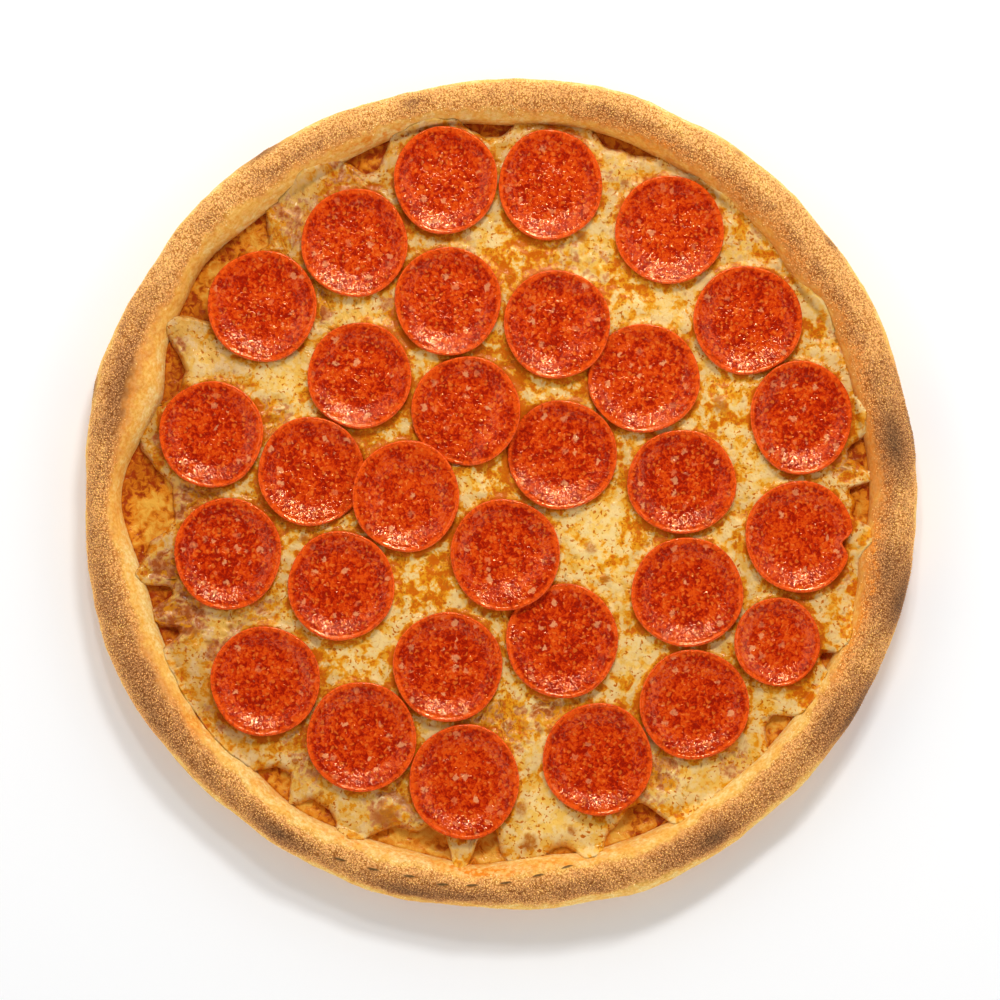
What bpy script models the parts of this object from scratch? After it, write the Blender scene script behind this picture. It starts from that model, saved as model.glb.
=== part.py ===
"""Whole pepperoni pizza, as baked: a crust with a raised rim, sauce, cheese and thirty slices.

The crust is one turned section, and its rim is then made uneven by functions of the angle
round the pizza: where it swells or thins, how high it rises, and the large bubble on its left.
The sauce fills the inside of the rim, the cheese lies on the sauce and ends in bays and lobes
that leave sauce showing along the rim, and every pepperoni slice is a thin disc whose edge has
curled up. Where a slice lies over its neighbour, it bends up over the edge that it covers.

Units are metres, with +Z up. The origin is the middle of the flat underside.
Angles are in degrees, counted from +X towards +Y.
"""
import math

import bmesh
import bpy

MM = 0.001

# Crust
OUTER_RADIUS = 161.0 * MM
FOOT_RADIUS = 142.0 * MM
FLOOR_HEIGHT = 5.0 * MM
CREST_HEIGHT = 22.0 * MM
SIDE_HEIGHT = 9.5 * MM
CREST_SHARE = 0.52
BASE_SHARE = 0.55
RIM_STEPS = 108
INNER_SLOPE_POINTS = 5
OUTER_SLOPE_POINTS = 4
UNDERCUT_POINTS = 3

# Sauce and cheese
LAYER_GAP = 0.3 * MM
SAUCE_THICKNESS = 1.3 * MM
SAUCE_RIM_GAP = 0.5 * MM
CHEESE_RADIUS = 139.5 * MM
CHEESE_RIM_GAP = 1.2 * MM
CHEESE_THICKNESS = 2.3 * MM
CHEESE_EDGE_THICKNESS = 0.7 * MM
CHEESE_RIPPLE = 0.32 * MM
CHEESE_STEPS = 90
CHEESE_RINGS = (0.13, 0.26, 0.39, 0.52, 0.64, 0.76, 0.87, 0.95)

# Pepperoni slices
SLICE_BASE = 10.0 * MM
SLICE_THICKNESS = 1.6 * MM
SLICE_CURL = 2.4 * MM
SLICE_STEPS = 24
TOP_RINGS = (0.60, 0.86, 0.97)
UNDER_RING = 0.62
OVERLAP_RISE = 3.0 * MM
OVERLAP_PRESSED_CURL = 0.2 * MM
OVERLAP_PLATEAU = 32.0
OVERLAP_FADE = 34.0

# Swells of the rim: angle, change in millimetres, half-width in degrees
OUTLINE_SWELLS = (
    (10, -1.0, 12), (48, 0.6, 8), (75, 0.8, 8), (105, -2.1, 11), (137, 0.7, 6), (165, 1.2, 4),
    (178, -0.9, 8), (205, 2.4, 10), (266, -1.5, 9), (292, 1.6, 9), (338, -0.6, 12), (357, -0.5, 6),
)
FOOT_SWELLS = (
    (14, -1.2, 6), (36, -2.6, 5), (73, 2.6, 9), (100, 2.2, 9), (124, -1.0, 7), (142, 2.5, 6),
    (165, -6.5, 7), (181, 4.5, 7), (196, -1.0, 5), (216, 1.6, 6), (238, 2.6, 8), (265, 1.6, 4),
    (276, -1.6, 5), (350, -2.6, 4),
)
CREST_SWELLS = (
    (40, 0.8, 15), (105, -1.6, 14), (166, 3.4, 7), (208, 1.2, 12), (255, -1.2, 15),
    (291, 1.0, 12), (342, 0.8, 10),
)
# Fine unevenness of the rim: waves in a full turn, size in millimetres, phase in radians
RIM_WAVES = ((7, 0.28, 0.4), (13, 0.20, 1.9), (22, 0.15, 4.0))

# Bays in the edge of the cheese: angle, change in millimetres, half-width in degrees
CHEESE_BAYS = (
    (2, -5.0, 5), (91, -4.0, 4), (111, -6.5, 4), (135, -8.0, 4), (148, -7.0, 4), (160, -7.0, 4),
    (182, -12.0, 8), (194, -5.0, 3), (237, -5.0, 6), (256, -7.0, 5), (268, -11.0, 4),
    (292, -8.0, 4), (319, -4.0, 3), (356, -4.0, 4),
)
# Thick places in the cheese: x, y, height and radius in millimetres
CHEESE_MOUNDS = (
    (18, -127, 1.6, 12), (-118, 47, 1.0, 9), (-84, 100, 1.0, 9), (93, 99, 1.0, 9),
    (45, 128, 0.8, 7), (-122, -58, 1.2, 10), (-37, -127, 1.3, 9), (66, -112, 1.0, 9),
    (128, 55, 0.8, 6), (133, -60, 1.0, 7), (42, -14, 0.5, 9), (85, 35, 0.5, 8),
)

# Slices: x and y of the middle, half-width and half-height, in millimetres
SLICES = (
    (-21.5, 120.5, 20.0, 21.0), (19.0, 118.5, 20.0, 21.5), (65.0, 101.0, 21.0, 21.0),
    (-56.5, 96.0, 20.5, 21.0), (-92.0, 71.5, 21.0, 21.5), (-20.5, 73.5, 20.5, 21.0),
    (21.5, 64.5, 20.5, 21.0), (95.0, 66.0, 21.0, 21.0), (55.0, 43.5, 21.5, 21.0),
    (-54.5, 44.5, 20.0, 20.5), (-13.5, 31.0, 21.0, 21.0), (-111.5, 22.0, 20.0, 20.5),
    (115.5, 28.5, 19.5, 22.0), (23.5, 14.0, 21.0, 21.0), (-73.0, 7.5, 20.5, 21.0),
    (69.5, 3.5, 21.0, 20.0), (-36.5, -2.0, 20.5, 21.5), (115.0, -17.5, 21.0, 21.5),
    (-105.0, -24.0, 20.5, 21.5), (1.5, -24.5, 21.0, 21.5), (-61.5, -36.5, 20.5, 21.0),
    (71.5, -39.0, 21.5, 21.0), (106.0, -58.0, 16.5, 17.0), (23.5, -57.5, 21.5, 22.0),
    (-20.5, -67.5, 21.0, 21.0), (-90.5, -73.0, 21.0, 21.0), (74.0, -82.0, 21.0, 21.0),
    (-53.5, -94.5, 21.0, 21.0), (37.0, -103.0, 21.0, 21.5), (-14.0, -111.5, 21.0, 22.0),
)
# Slices that lie over a neighbour: number of the upper one, number of the lower one
OVERLAPS = ((17, 15), (17, 11), (20, 24), (7, 9), (11, 14))
# A slice whose edge is nicked by melted cheese: number, angle, depth in millimetres, half-width
NICK = (18, -8, 4.0, 9)

CRUST_COLOUR = (0.58, 0.33, 0.13)
SAUCE_COLOUR = (0.46, 0.10, 0.02)
CHEESE_COLOUR = (0.78, 0.60, 0.26)
PEPPERONI_COLOUR = (0.50, 0.05, 0.01)


def clear_scene():
    for item in list(bpy.data.objects):
        bpy.data.objects.remove(item, do_unlink=True)


def smooth_step(low, high, value):
    """Rise smoothly from 0 at low to 1 at high."""
    share = min(max((value - low) / (high - low), 0.0), 1.0)
    return share * share * (3.0 - 2.0 * share)


def turn_between(angle, other):
    """Give the smallest turn from one angle to another, between -180 and 180."""
    return (angle - other + 180.0) % 360.0 - 180.0


def swells(angle, rows):
    """Add up the rounded swells of a list at one angle, in metres."""
    total = 0.0
    for centre, change, half_width in rows:
        total += change * math.exp(-(turn_between(angle, centre) / half_width) ** 2)
    return total * MM


def rim_waves(angle):
    turn = math.radians(angle)
    return sum(size * math.sin(count * turn + phase) for count, size, phase in RIM_WAVES) * MM


def outer_radius(angle):
    return OUTER_RADIUS + swells(angle, OUTLINE_SWELLS) + 0.5 * rim_waves(angle)


def foot_radius(angle):
    return FOOT_RADIUS + swells(angle, FOOT_SWELLS)


def crest_height(angle):
    return CREST_HEIGHT + swells(angle, CREST_SWELLS) + rim_waves(angle + 40.0)


def cheese_radius(angle):
    bayed = CHEESE_RADIUS + swells(angle, CHEESE_BAYS) + 2.0 * rim_waves(3.0 * angle)
    return min(bayed, foot_radius(angle) - CHEESE_RIM_GAP)


def quarter_arc(start, end, points, upright):
    """Points of a quarter ellipse after start, which it leaves upright or else level."""
    arc = []
    for index in range(1, points + 1):
        turn = math.radians(90.0 * index / points)
        first, second = 1.0 - math.cos(turn), math.sin(turn)
        if not upright:
            first, second = second, first
        radius = start[0] + (end[0] - start[0]) * first
        height = start[1] + (end[1] - start[1]) * second
        arc.append((radius, height))
    return arc


def turned_mesh(profile, steps):
    """Turn a profile of (radius, height) points round the Z axis and return its mesh."""
    line = bpy.data.meshes.new("profile")
    edges = [(index, index + 1) for index in range(len(profile) - 1)]
    line.from_pydata([(radius, 0.0, height) for radius, height in profile], edges, [])
    holder = bpy.data.objects.new("profile", line)
    bpy.context.scene.collection.objects.link(holder)
    screw = holder.modifiers.new("Turn", "SCREW")
    screw.steps = steps
    screw.render_steps = steps
    screw.use_merge_vertices = True
    screw.merge_threshold = 0.00001
    evaluated = holder.evaluated_get(bpy.context.evaluated_depsgraph_get())
    mesh = bpy.data.meshes.new_from_object(evaluated)
    bpy.data.objects.remove(holder, do_unlink=True)
    bpy.data.meshes.remove(line)
    return mesh


def reshape(mesh, place):
    """Move every vertex by a function of its radius, its angle in degrees and its height."""
    for vertex in mesh.vertices:
        radius = math.hypot(vertex.co.x, vertex.co.y)
        angle = math.degrees(math.atan2(vertex.co.y, vertex.co.x))
        vertex.co = place(radius, angle, vertex.co.z)


def polar(radius, angle, height):
    turn = math.radians(angle)
    return (radius * math.cos(turn), radius * math.sin(turn), height)


def add_object(name, mesh, material, collection, parent, location=(0.0, 0.0, 0.0)):
    """Close and orient a mesh, and add it as a named object."""
    shape = bmesh.new()
    shape.from_mesh(mesh)
    bmesh.ops.remove_doubles(shape, verts=shape.verts, dist=0.00001)
    bmesh.ops.recalc_face_normals(shape, faces=shape.faces)
    shape.to_mesh(mesh)
    shape.free()
    mesh.name = name
    mesh.shade_smooth()
    mesh.set_sharp_from_angle(angle=math.radians(50.0))
    mesh.materials.clear()
    mesh.materials.append(material)
    item = bpy.data.objects.new(name, mesh)
    item.location = location
    item.parent = parent
    collection.objects.link(item)
    return item


def make_material(name, colour, roughness):
    material = bpy.data.materials.new(name)
    material.use_nodes = True
    shader = material.node_tree.nodes["Principled BSDF"]
    shader.inputs["Base Color"].default_value = (*colour, 1.0)
    shader.inputs["Roughness"].default_value = roughness
    shader.inputs["Metallic"].default_value = 0.0
    return material


def crust_profile():
    """Section of the crust: flat floor, inner slope, outer slope, undercut and flat underside."""
    rim_width = OUTER_RADIUS - FOOT_RADIUS
    foot = (FOOT_RADIUS, FLOOR_HEIGHT)
    crest = (FOOT_RADIUS + CREST_SHARE * rim_width, CREST_HEIGHT)
    side = (OUTER_RADIUS, SIDE_HEIGHT)
    base = (FOOT_RADIUS + BASE_SHARE * rim_width, 0.0)
    profile = [(0.0, FLOOR_HEIGHT), foot]
    profile += quarter_arc(foot, crest, INNER_SLOPE_POINTS, upright=True)
    profile += quarter_arc(crest, side, OUTER_SLOPE_POINTS, upright=False)
    profile += quarter_arc(side, base, UNDERCUT_POINTS, upright=True)
    profile.append((0.0, 0.0))
    return profile


def place_crust(radius, angle, height):
    """Fit the even section to the rim's real edges and height at this angle."""
    foot = foot_radius(angle)
    width_share = (radius - FOOT_RADIUS) / (OUTER_RADIUS - FOOT_RADIUS)
    if width_share > 0.0:
        radius = foot + width_share * (outer_radius(angle) - foot)
    else:
        radius *= foot / FOOT_RADIUS
    if height > FLOOR_HEIGHT:
        height_share = (height - FLOOR_HEIGHT) / (CREST_HEIGHT - FLOOR_HEIGHT)
        height = FLOOR_HEIGHT + height_share * (crest_height(angle) - FLOOR_HEIGHT)
    return polar(radius, angle, height)


def make_crust(collection, parent):
    mesh = turned_mesh(crust_profile(), RIM_STEPS)
    reshape(mesh, place_crust)
    material = make_material("baked_crust", CRUST_COLOUR, 0.75)
    return add_object("crust", mesh, material, collection, parent)


def make_sauce(collection, parent):
    """Thin round layer that fills the floor inside the rim, with a sloping edge."""
    low = FLOOR_HEIGHT + LAYER_GAP
    high = low + SAUCE_THICKNESS
    radius = FOOT_RADIUS - SAUCE_RIM_GAP
    profile = [(0.0, high), (radius - SAUCE_THICKNESS, high), (radius, low), (0.0, low)]

    def place_sauce(radius, angle, height):
        return polar(radius * foot_radius(angle) / FOOT_RADIUS, angle, height)

    mesh = turned_mesh(profile, RIM_STEPS)
    reshape(mesh, place_sauce)
    material = make_material("tomato_sauce", SAUCE_COLOUR, 0.4)
    return add_object("sauce", mesh, material, collection, parent)


def cheese_surface(x, y):
    """Height that the melted cheese adds to its mean top at one place."""
    waves = math.sin(x / (9.0 * MM) + 1.3) * math.sin(y / (11.0 * MM) + 0.4)
    waves += math.sin((x + y) / (17.0 * MM)) * 0.5
    added = CHEESE_RIPPLE * waves / 1.5
    for mound_x, mound_y, height, radius in CHEESE_MOUNDS:
        distance = math.hypot(x - mound_x * MM, y - mound_y * MM)
        added += height * MM * math.exp(-(distance / (radius * MM)) ** 2)
    return added


def make_cheese(collection, parent):
    """Melted layer with an uneven top, thinning to its bays and lobes along the rim."""
    low = FLOOR_HEIGHT + SAUCE_THICKNESS + 2.0 * LAYER_GAP
    high = low + CHEESE_THICKNESS
    profile = [(0.0, high)]
    profile += [(share * CHEESE_RADIUS, high) for share in CHEESE_RINGS]
    profile += [(CHEESE_RADIUS, low + CHEESE_EDGE_THICKNESS)]
    profile += [(CHEESE_RADIUS - CHEESE_EDGE_THICKNESS, low), (0.0, low)]

    def place_cheese(radius, angle, height):
        radius *= cheese_radius(angle) / CHEESE_RADIUS
        x, y, _ = polar(radius, angle, height)
        if height > low + CHEESE_EDGE_THICKNESS:
            height += cheese_surface(x, y)
        return (x, y, height)

    mesh = turned_mesh(profile, CHEESE_STEPS)
    reshape(mesh, place_cheese)
    material = make_material("melted_cheese", CHEESE_COLOUR, 0.45)
    return add_object("cheese", mesh, material, collection, parent)


def beside(angle, centre):
    """1 near an angle, on a plateau, fading to 0 on both sides of it."""
    turn = abs(turn_between(angle, centre))
    return 1.0 - smooth_step(OVERLAP_PLATEAU, OVERLAP_PLATEAU + OVERLAP_FADE, turn)


def direction(number, other):
    """Angle from the middle of one slice to the middle of another."""
    from_x, from_y = SLICES[number - 1][:2]
    to_x, to_y = SLICES[other - 1][:2]
    return math.degrees(math.atan2(to_y - from_y, to_x - from_x))


def slice_rise(number, share, angle):
    """How far a slice has risen at a share of its radius: its curl and its bends."""
    curl = SLICE_CURL * (1.0 + 0.14 * math.sin(2.0 * math.radians(angle) + 1.7 * number))
    curled = max(share - 0.5, 0.0) / 0.5
    rise = curl * curled ** 2
    for upper, lower in OVERLAPS:
        if number == lower:
            pressed = beside(angle, direction(lower, upper))
            rise += pressed * (OVERLAP_PRESSED_CURL * curled ** 2 - rise)
        if number == upper:
            lifted = beside(angle, direction(upper, lower))
            rise += lifted * (OVERLAP_RISE * smooth_step(0.3, 0.92, share) - rise)
    return rise


def slice_profile():
    """Section of a flat slice with a radius of 1: top, rounded edge and underside."""
    profile = [(0.0, SLICE_THICKNESS)]
    profile += [(share, SLICE_THICKNESS) for share in TOP_RINGS]
    profile += [(1.0, 0.45 * SLICE_THICKNESS), (UNDER_RING, 0.0), (0.0, 0.0)]
    return profile


def make_slice(number, material, collection, parent):
    x, y, half_width, half_height = SLICES[number - 1]

    def place_slice(share, angle, height):
        turn = math.radians(angle)
        wobble = 1.0 + 0.008 * math.sin(3.0 * turn + number) + 0.006 * math.sin(5.0 * turn - number)
        if number == NICK[0]:
            _, centre, depth, nick_width = NICK
            nick = math.exp(-(turn_between(angle, centre) / nick_width) ** 2)
            wobble -= depth / half_width * nick * smooth_step(0.6, 1.0, share)
        reach = share * wobble * MM
        rise = slice_rise(number, share, angle)
        return (reach * half_width * math.cos(turn), reach * half_height * math.sin(turn), height + rise)

    mesh = turned_mesh(slice_profile(), SLICE_STEPS)
    reshape(mesh, place_slice)
    name = "pepperoni_{:02d}".format(number)
    return add_object(name, mesh, material, collection, parent, (x * MM, y * MM, SLICE_BASE))


def main():
    clear_scene()
    collection = bpy.data.collections.new("pepperoni_pizza")
    bpy.context.scene.collection.children.link(collection)
    pizza = bpy.data.objects.new("pizza_origin", None)
    collection.objects.link(pizza)
    make_crust(collection, pizza)
    make_sauce(collection, pizza)
    make_cheese(collection, pizza)
    pepperoni = make_material("pepperoni", PEPPERONI_COLOUR, 0.3)
    for number in range(1, len(SLICES) + 1):
        make_slice(number, pepperoni, collection, pizza)


main()
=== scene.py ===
"""Looks of the whole pepperoni pizza: baked rim, sauce, melted cheese and cupped slices.

Every piece is a fine mesh over its solid, shaped by the same functions as the solid and then
given relief. Masks for baking, char, oily stains and thin cheese are worked out at the vertices
and kept as attributes, which the procedural materials read beside their own fine patterns; the
baking and oily masks of the crust also hold painted shade on the north and east of the rim's
inner slope and painted light on its south.
Lengths are in millimetres until the meshes are made, angles in degrees from +X towards +Y.
"""
import math

import bpy
import numpy as np
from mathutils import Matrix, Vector


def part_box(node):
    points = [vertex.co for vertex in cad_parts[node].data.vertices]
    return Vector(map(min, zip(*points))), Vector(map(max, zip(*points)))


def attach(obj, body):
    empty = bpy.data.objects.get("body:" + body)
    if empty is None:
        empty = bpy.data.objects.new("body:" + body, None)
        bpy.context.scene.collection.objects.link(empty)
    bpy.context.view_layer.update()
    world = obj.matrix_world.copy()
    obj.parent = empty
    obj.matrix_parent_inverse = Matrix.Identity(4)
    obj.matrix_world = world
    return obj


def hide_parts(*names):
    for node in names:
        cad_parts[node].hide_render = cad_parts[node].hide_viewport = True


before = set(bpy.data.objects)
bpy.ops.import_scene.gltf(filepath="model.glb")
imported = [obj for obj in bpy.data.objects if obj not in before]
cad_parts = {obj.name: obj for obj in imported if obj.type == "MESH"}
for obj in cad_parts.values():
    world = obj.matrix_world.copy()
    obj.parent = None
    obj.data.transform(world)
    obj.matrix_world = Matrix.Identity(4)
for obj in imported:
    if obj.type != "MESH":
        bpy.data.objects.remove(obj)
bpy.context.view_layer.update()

MM = 0.001
WHITE = (1.0, 1.0, 1.0)
# Distance that stands for nothing near, in millimetres or cells
FAR = 9.0
# Height and distance in millimetres where no slice lies over the cheese
FREE = 99.0

# The crust's driving sizes, as in the solids
OUTER_RADIUS = 161.0
FOOT_RADIUS = 142.0
FLOOR_HEIGHT = 5.0
CREST_HEIGHT = 22.0
SIDE_HEIGHT = 9.5
CREST_SHARE = 0.52
BASE_SHARE = 0.55
# Swells along the rim: angle, change in mm, half-width in degrees
OUTLINE_SWELLS = (
    (10, -1.0, 12), (48, 0.6, 8), (75, 0.8, 8), (105, -2.1, 11), (137, 0.7, 6), (165, 1.2, 4),
    (178, -0.9, 8), (205, 2.4, 10), (266, -1.5, 9), (292, 1.6, 9), (338, -0.6, 12), (357, -0.5, 6),
)
FOOT_SWELLS = (
    (14, -1.2, 6), (36, -2.6, 5), (73, 2.6, 9), (100, 2.2, 9), (124, -1.0, 7), (142, 2.5, 6),
    (165, -6.5, 7), (181, 4.5, 7), (196, -1.0, 5), (216, 1.6, 6), (238, 2.6, 8), (265, 1.6, 4),
    (276, -1.6, 5), (350, -2.6, 4),
)
CREST_SWELLS = (
    (40, 0.8, 15), (105, -1.6, 14), (166, 3.4, 7), (208, 1.2, 12), (255, -1.2, 15),
    (291, 1.0, 12), (342, 0.8, 10),
)
# Waves round the rim: how many, height in mm, phase
RIM_WAVES = ((7, 0.28, 0.4), (13, 0.20, 1.9), (22, 0.15, 4.0))

# The layers' driving sizes, as in the solids
LAYER_GAP = 0.3
SAUCE_THICKNESS = 1.3
CHEESE_RADIUS = 139.5
CHEESE_THICKNESS = 2.3
CHEESE_RIPPLE = 0.32
# Mounds in the cheese: x, y, height, radius
CHEESE_MOUNDS = (
    (18, -127, 1.6, 12), (-118, 47, 1.0, 9), (-84, 100, 1.0, 9), (93, 99, 1.0, 9),
    (45, 128, 0.8, 7), (-122, -58, 1.2, 10), (-37, -127, 1.3, 9), (66, -112, 1.0, 9),
    (128, 55, 0.8, 6), (133, -60, 1.0, 7), (42, -14, 0.5, 9), (85, 35, 0.5, 8),
)
SAUCE_LOW = FLOOR_HEIGHT + LAYER_GAP
SAUCE_TOP = SAUCE_LOW + SAUCE_THICKNESS
CHEESE_LOW = SAUCE_TOP + LAYER_GAP
CHEESE_TOP = CHEESE_LOW + CHEESE_THICKNESS

# Slices: their places come from the solids, their form from the same sizes
SLICE_COUNT = 30
SLICE_BASE = 10.0
SLICE_THICKNESS = 1.6
SLICE_CURL = 2.35
CURL_WAVE = 0.14
CURL_SPAN = (0.54, 0.99)
# Slices that lie partly over a neighbour: the upper one, the lower one
OVERLAPS = ((17, 15), (17, 11), (20, 24), (7, 9), (11, 14))
OVERLAP_RISE = 3.0
OVERLAP_SPAN = (0.3, 0.92)
OVERLAP_PRESSED_CURL = 0.2
OVERLAP_PLATEAU = 32.0
OVERLAP_FADE = 34.0
# Nick in a slice's edge: number of the slice, direction, depth and half-width in degrees
NICK = (18, -8, 4.0, 9)

# Fineness of the meshes
RIM_TURN_STEPS = 900
CHEESE_GRID = 300
SAUCE_TURN_STEPS = 720
SLICE_TURN_STEPS = 120

# Camera, in degrees, metres and millimetres of lens
CAMERA_ELEVATION = 86.4
CAMERA_DISTANCE = 1.6
CAMERA_LENS = 149.7
CAMERA_SENSOR = 36.0
CAMERA_CLIP = (0.05, 20.0)
CAMERA_TARGET = (-0.4 * MM, -3.35 * MM, 12.0 * MM)

# Lamps above the top of the picture: name, width, height, power, turn to the right, elevation
LAMPS = (
    ("key", 0.22, 0.13, 5.6, 13.0, 47.0),
    ("spot", 0.11, 0.11, 2.2, -6.0, 54.0),
)
LAMP_DISTANCE = 1.2
# Brightness of the room's walls and ceiling, and the heights between which one gives way
WALL_STRENGTH = 1.42
CEILING_STRENGTH = 0.07
CEILING_SPAN = (0.58, 0.80)
GROUND_SIZE = 8.0
GROUND_DROP = 0.0002


# Noise and small functions

def lattice(column, row, seed, period=None):
    """Random value from 0 to 1 at whole-number places, repeating along columns if asked."""
    column = column.astype(np.int64)
    row = row.astype(np.int64)
    if period is not None:
        column = column % period
    mixed = (column * 374761393 + row * 668265263 + seed * 144269504) & 0xFFFFFFFF
    mixed = ((mixed ^ (mixed >> 13)) * 1274126177) & 0xFFFFFFFF
    mixed = ((mixed ^ (mixed >> 15)) * 2246822519) & 0xFFFFFFFF
    return ((mixed ^ (mixed >> 16)) & 0xFFFFFF) / float(0xFFFFFF)


def noise(x, y, seed, period=None):
    """Smooth noise from -1 to 1 with cells of one unit."""
    column, row = np.floor(x), np.floor(y)
    across, along = x - column, y - row
    across = across ** 3 * (across * (across * 6.0 - 15.0) + 10.0)
    along = along ** 3 * (along * (along * 6.0 - 15.0) + 10.0)
    low = lattice(column, row, seed, period) * (1.0 - across)
    low += lattice(column + 1, row, seed, period) * across
    high = lattice(column, row + 1, seed, period) * (1.0 - across)
    high += lattice(column + 1, row + 1, seed, period) * across
    return (low * (1.0 - along) + high * along) * 2.0 - 1.0


def layered(x, y, size, seed, octaves=3):
    """Noise in octaves, from about -1 to 1, over a plane in millimetres."""
    total, weight, whole = 0.0, 1.0, 0.0
    for octave in range(octaves):
        turn = 0.7 * octave
        u = (x * math.cos(turn) - y * math.sin(turn)) / size
        v = (x * math.sin(turn) + y * math.cos(turn)) / size
        total = total + weight * noise(u + 31.7 * octave, v - 17.3 * octave, seed + octave)
        whole += weight
        weight *= 0.5
        size *= 0.5
    return total / whole * 1.4


def cells(x, y, size, seed):
    """Distance in millimetres to the nearest of scattered points, and that point's number."""
    u, v = x / size, y / size
    column, row = np.floor(u), np.floor(v)
    nearest = np.full(u.shape, FAR)
    number = np.zeros(u.shape)
    for step_x in (-1, 0, 1):
        for step_y in (-1, 0, 1):
            here_x, here_y = column + step_x, row + step_y
            point_x = here_x + lattice(here_x, here_y, seed)
            point_y = here_y + lattice(here_x, here_y, seed + 1)
            distance = np.hypot(u - point_x, v - point_y)
            closer = distance < nearest
            number = np.where(closer, lattice(here_x, here_y, seed + 2), number)
            nearest = np.where(closer, distance, nearest)
    return nearest * size, number


def smooth_step(low, high, value):
    """0 below low and 1 above high, with a soft passage between them."""
    share = np.clip((value - low) / (high - low), 0.0, 1.0)
    return share * share * (3.0 - 2.0 * share)


def fade(low, high, value):
    """1 below low and 0 above high, with a soft passage between them."""
    return 1.0 - smooth_step(low, high, value)


def turn_between(angle, other):
    return (angle - other + 180.0) % 360.0 - 180.0


def swells(angle, rows):
    total = np.zeros_like(angle)
    for centre, change, half_width in rows:
        total += change * np.exp(-(turn_between(angle, centre) / half_width) ** 2)
    return total


def rim_waves(angle):
    turn = np.radians(angle)
    return sum(size * np.sin(count * turn + phase) for count, size, phase in RIM_WAVES)


def outer_radius(angle):
    return OUTER_RADIUS + swells(angle, OUTLINE_SWELLS) + 0.5 * rim_waves(angle)


def foot_radius(angle):
    return FOOT_RADIUS + swells(angle, FOOT_SWELLS)


def crest_height(angle):
    return CREST_HEIGHT + swells(angle, CREST_SWELLS) + rim_waves(angle + 40.0)


def patches(x, y, rows):
    """Soft round patches from a list of x, y, radius and strength, the strongest winning."""
    total = np.zeros_like(x)
    for patch_x, patch_y, radius, strength in rows:
        distance = np.hypot(x - patch_x, y - patch_y) / radius
        total = np.maximum(total, strength * fade(0.55, 1.15, distance))
    return total


# Meshes

def grid_faces(columns, rows, closed):
    """Faces of a grid whose vertices run row after row, joined round its columns if closed."""
    column = np.arange(columns if closed else columns - 1)
    row = np.arange(rows - 1)
    column, row = np.meshgrid(column, row)
    beside = (column + 1) % columns
    faces = np.stack(
        (row * columns + column, row * columns + beside,
         (row + 1) * columns + beside, (row + 1) * columns + column), axis=-1)
    return faces.reshape(-1, 4)


def fan_faces(start, count, middle, turned):
    """Triangles from a ring of vertices to one in the middle."""
    ring = start + np.arange(count)
    beside = start + (np.arange(count) + 1) % count
    order = (beside, ring) if turned else (ring, beside)
    return np.stack((*order, np.full(count, middle)), axis=-1)


def ring_faces(columns, rows):
    """Faces of a body of rings, closed round a vertex in the middle of its top and its base."""
    last = columns * rows
    return [
        grid_faces(columns, rows, closed=True)[:, ::-1],
        fan_faces(0, columns, last, turned=False),
        fan_faces(last - columns, columns, last + 1, turned=True),
    ]


def vertices(x, y, height):
    return np.stack((x, y, height), axis=-1).reshape(-1, 3)


def add_object(name, data):
    made = bpy.data.objects.new(name, data)
    bpy.context.scene.collection.objects.link(made)
    return made


def make_piece(name, points, faces, material, nodes, attributes=None):
    """Make a smooth mesh from points in millimetres, with its masks, as a piece of the model."""
    mesh = bpy.data.meshes.new(name)
    sizes = [np.asarray(part).shape for part in faces]
    corners = np.concatenate([np.asarray(part).ravel() for part in faces]).astype(np.int32)
    totals = np.concatenate([np.full(size[0], size[1]) for size in sizes]).astype(np.int32)
    starts = np.concatenate(([0], np.cumsum(totals)[:-1])).astype(np.int32)
    mesh.vertices.add(len(points))
    mesh.vertices.foreach_set("co", (points * MM).astype(np.float32).ravel())
    mesh.loops.add(len(corners))
    mesh.loops.foreach_set("vertex_index", corners)
    mesh.polygons.add(len(totals))
    mesh.polygons.foreach_set("loop_start", starts)
    mesh.update(calc_edges=True)
    mesh.shade_smooth()
    for key, values in (attributes or {}).items():
        mask = mesh.attributes.new(key, "FLOAT", "POINT")
        mask.data.foreach_set("value", values.astype(np.float32))
    mesh.materials.append(material)
    piece = add_object(name, mesh)
    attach(piece, "root")
    if nodes:
        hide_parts(*nodes)
    return piece


def grid_normals(x, y, z, closed):
    """Unit normals of a grid of points, with rows first and columns second."""
    points = np.stack((x, y, z), axis=-1)
    if closed:
        across = np.roll(points, -1, axis=1) - np.roll(points, 1, axis=1)
    else:
        across = np.gradient(points, axis=1)
    along = np.gradient(points, axis=0)
    normal = np.cross(across, along)
    return normal / np.maximum(np.linalg.norm(normal, axis=-1, keepdims=True), 1e-9)


# Node helpers

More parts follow.
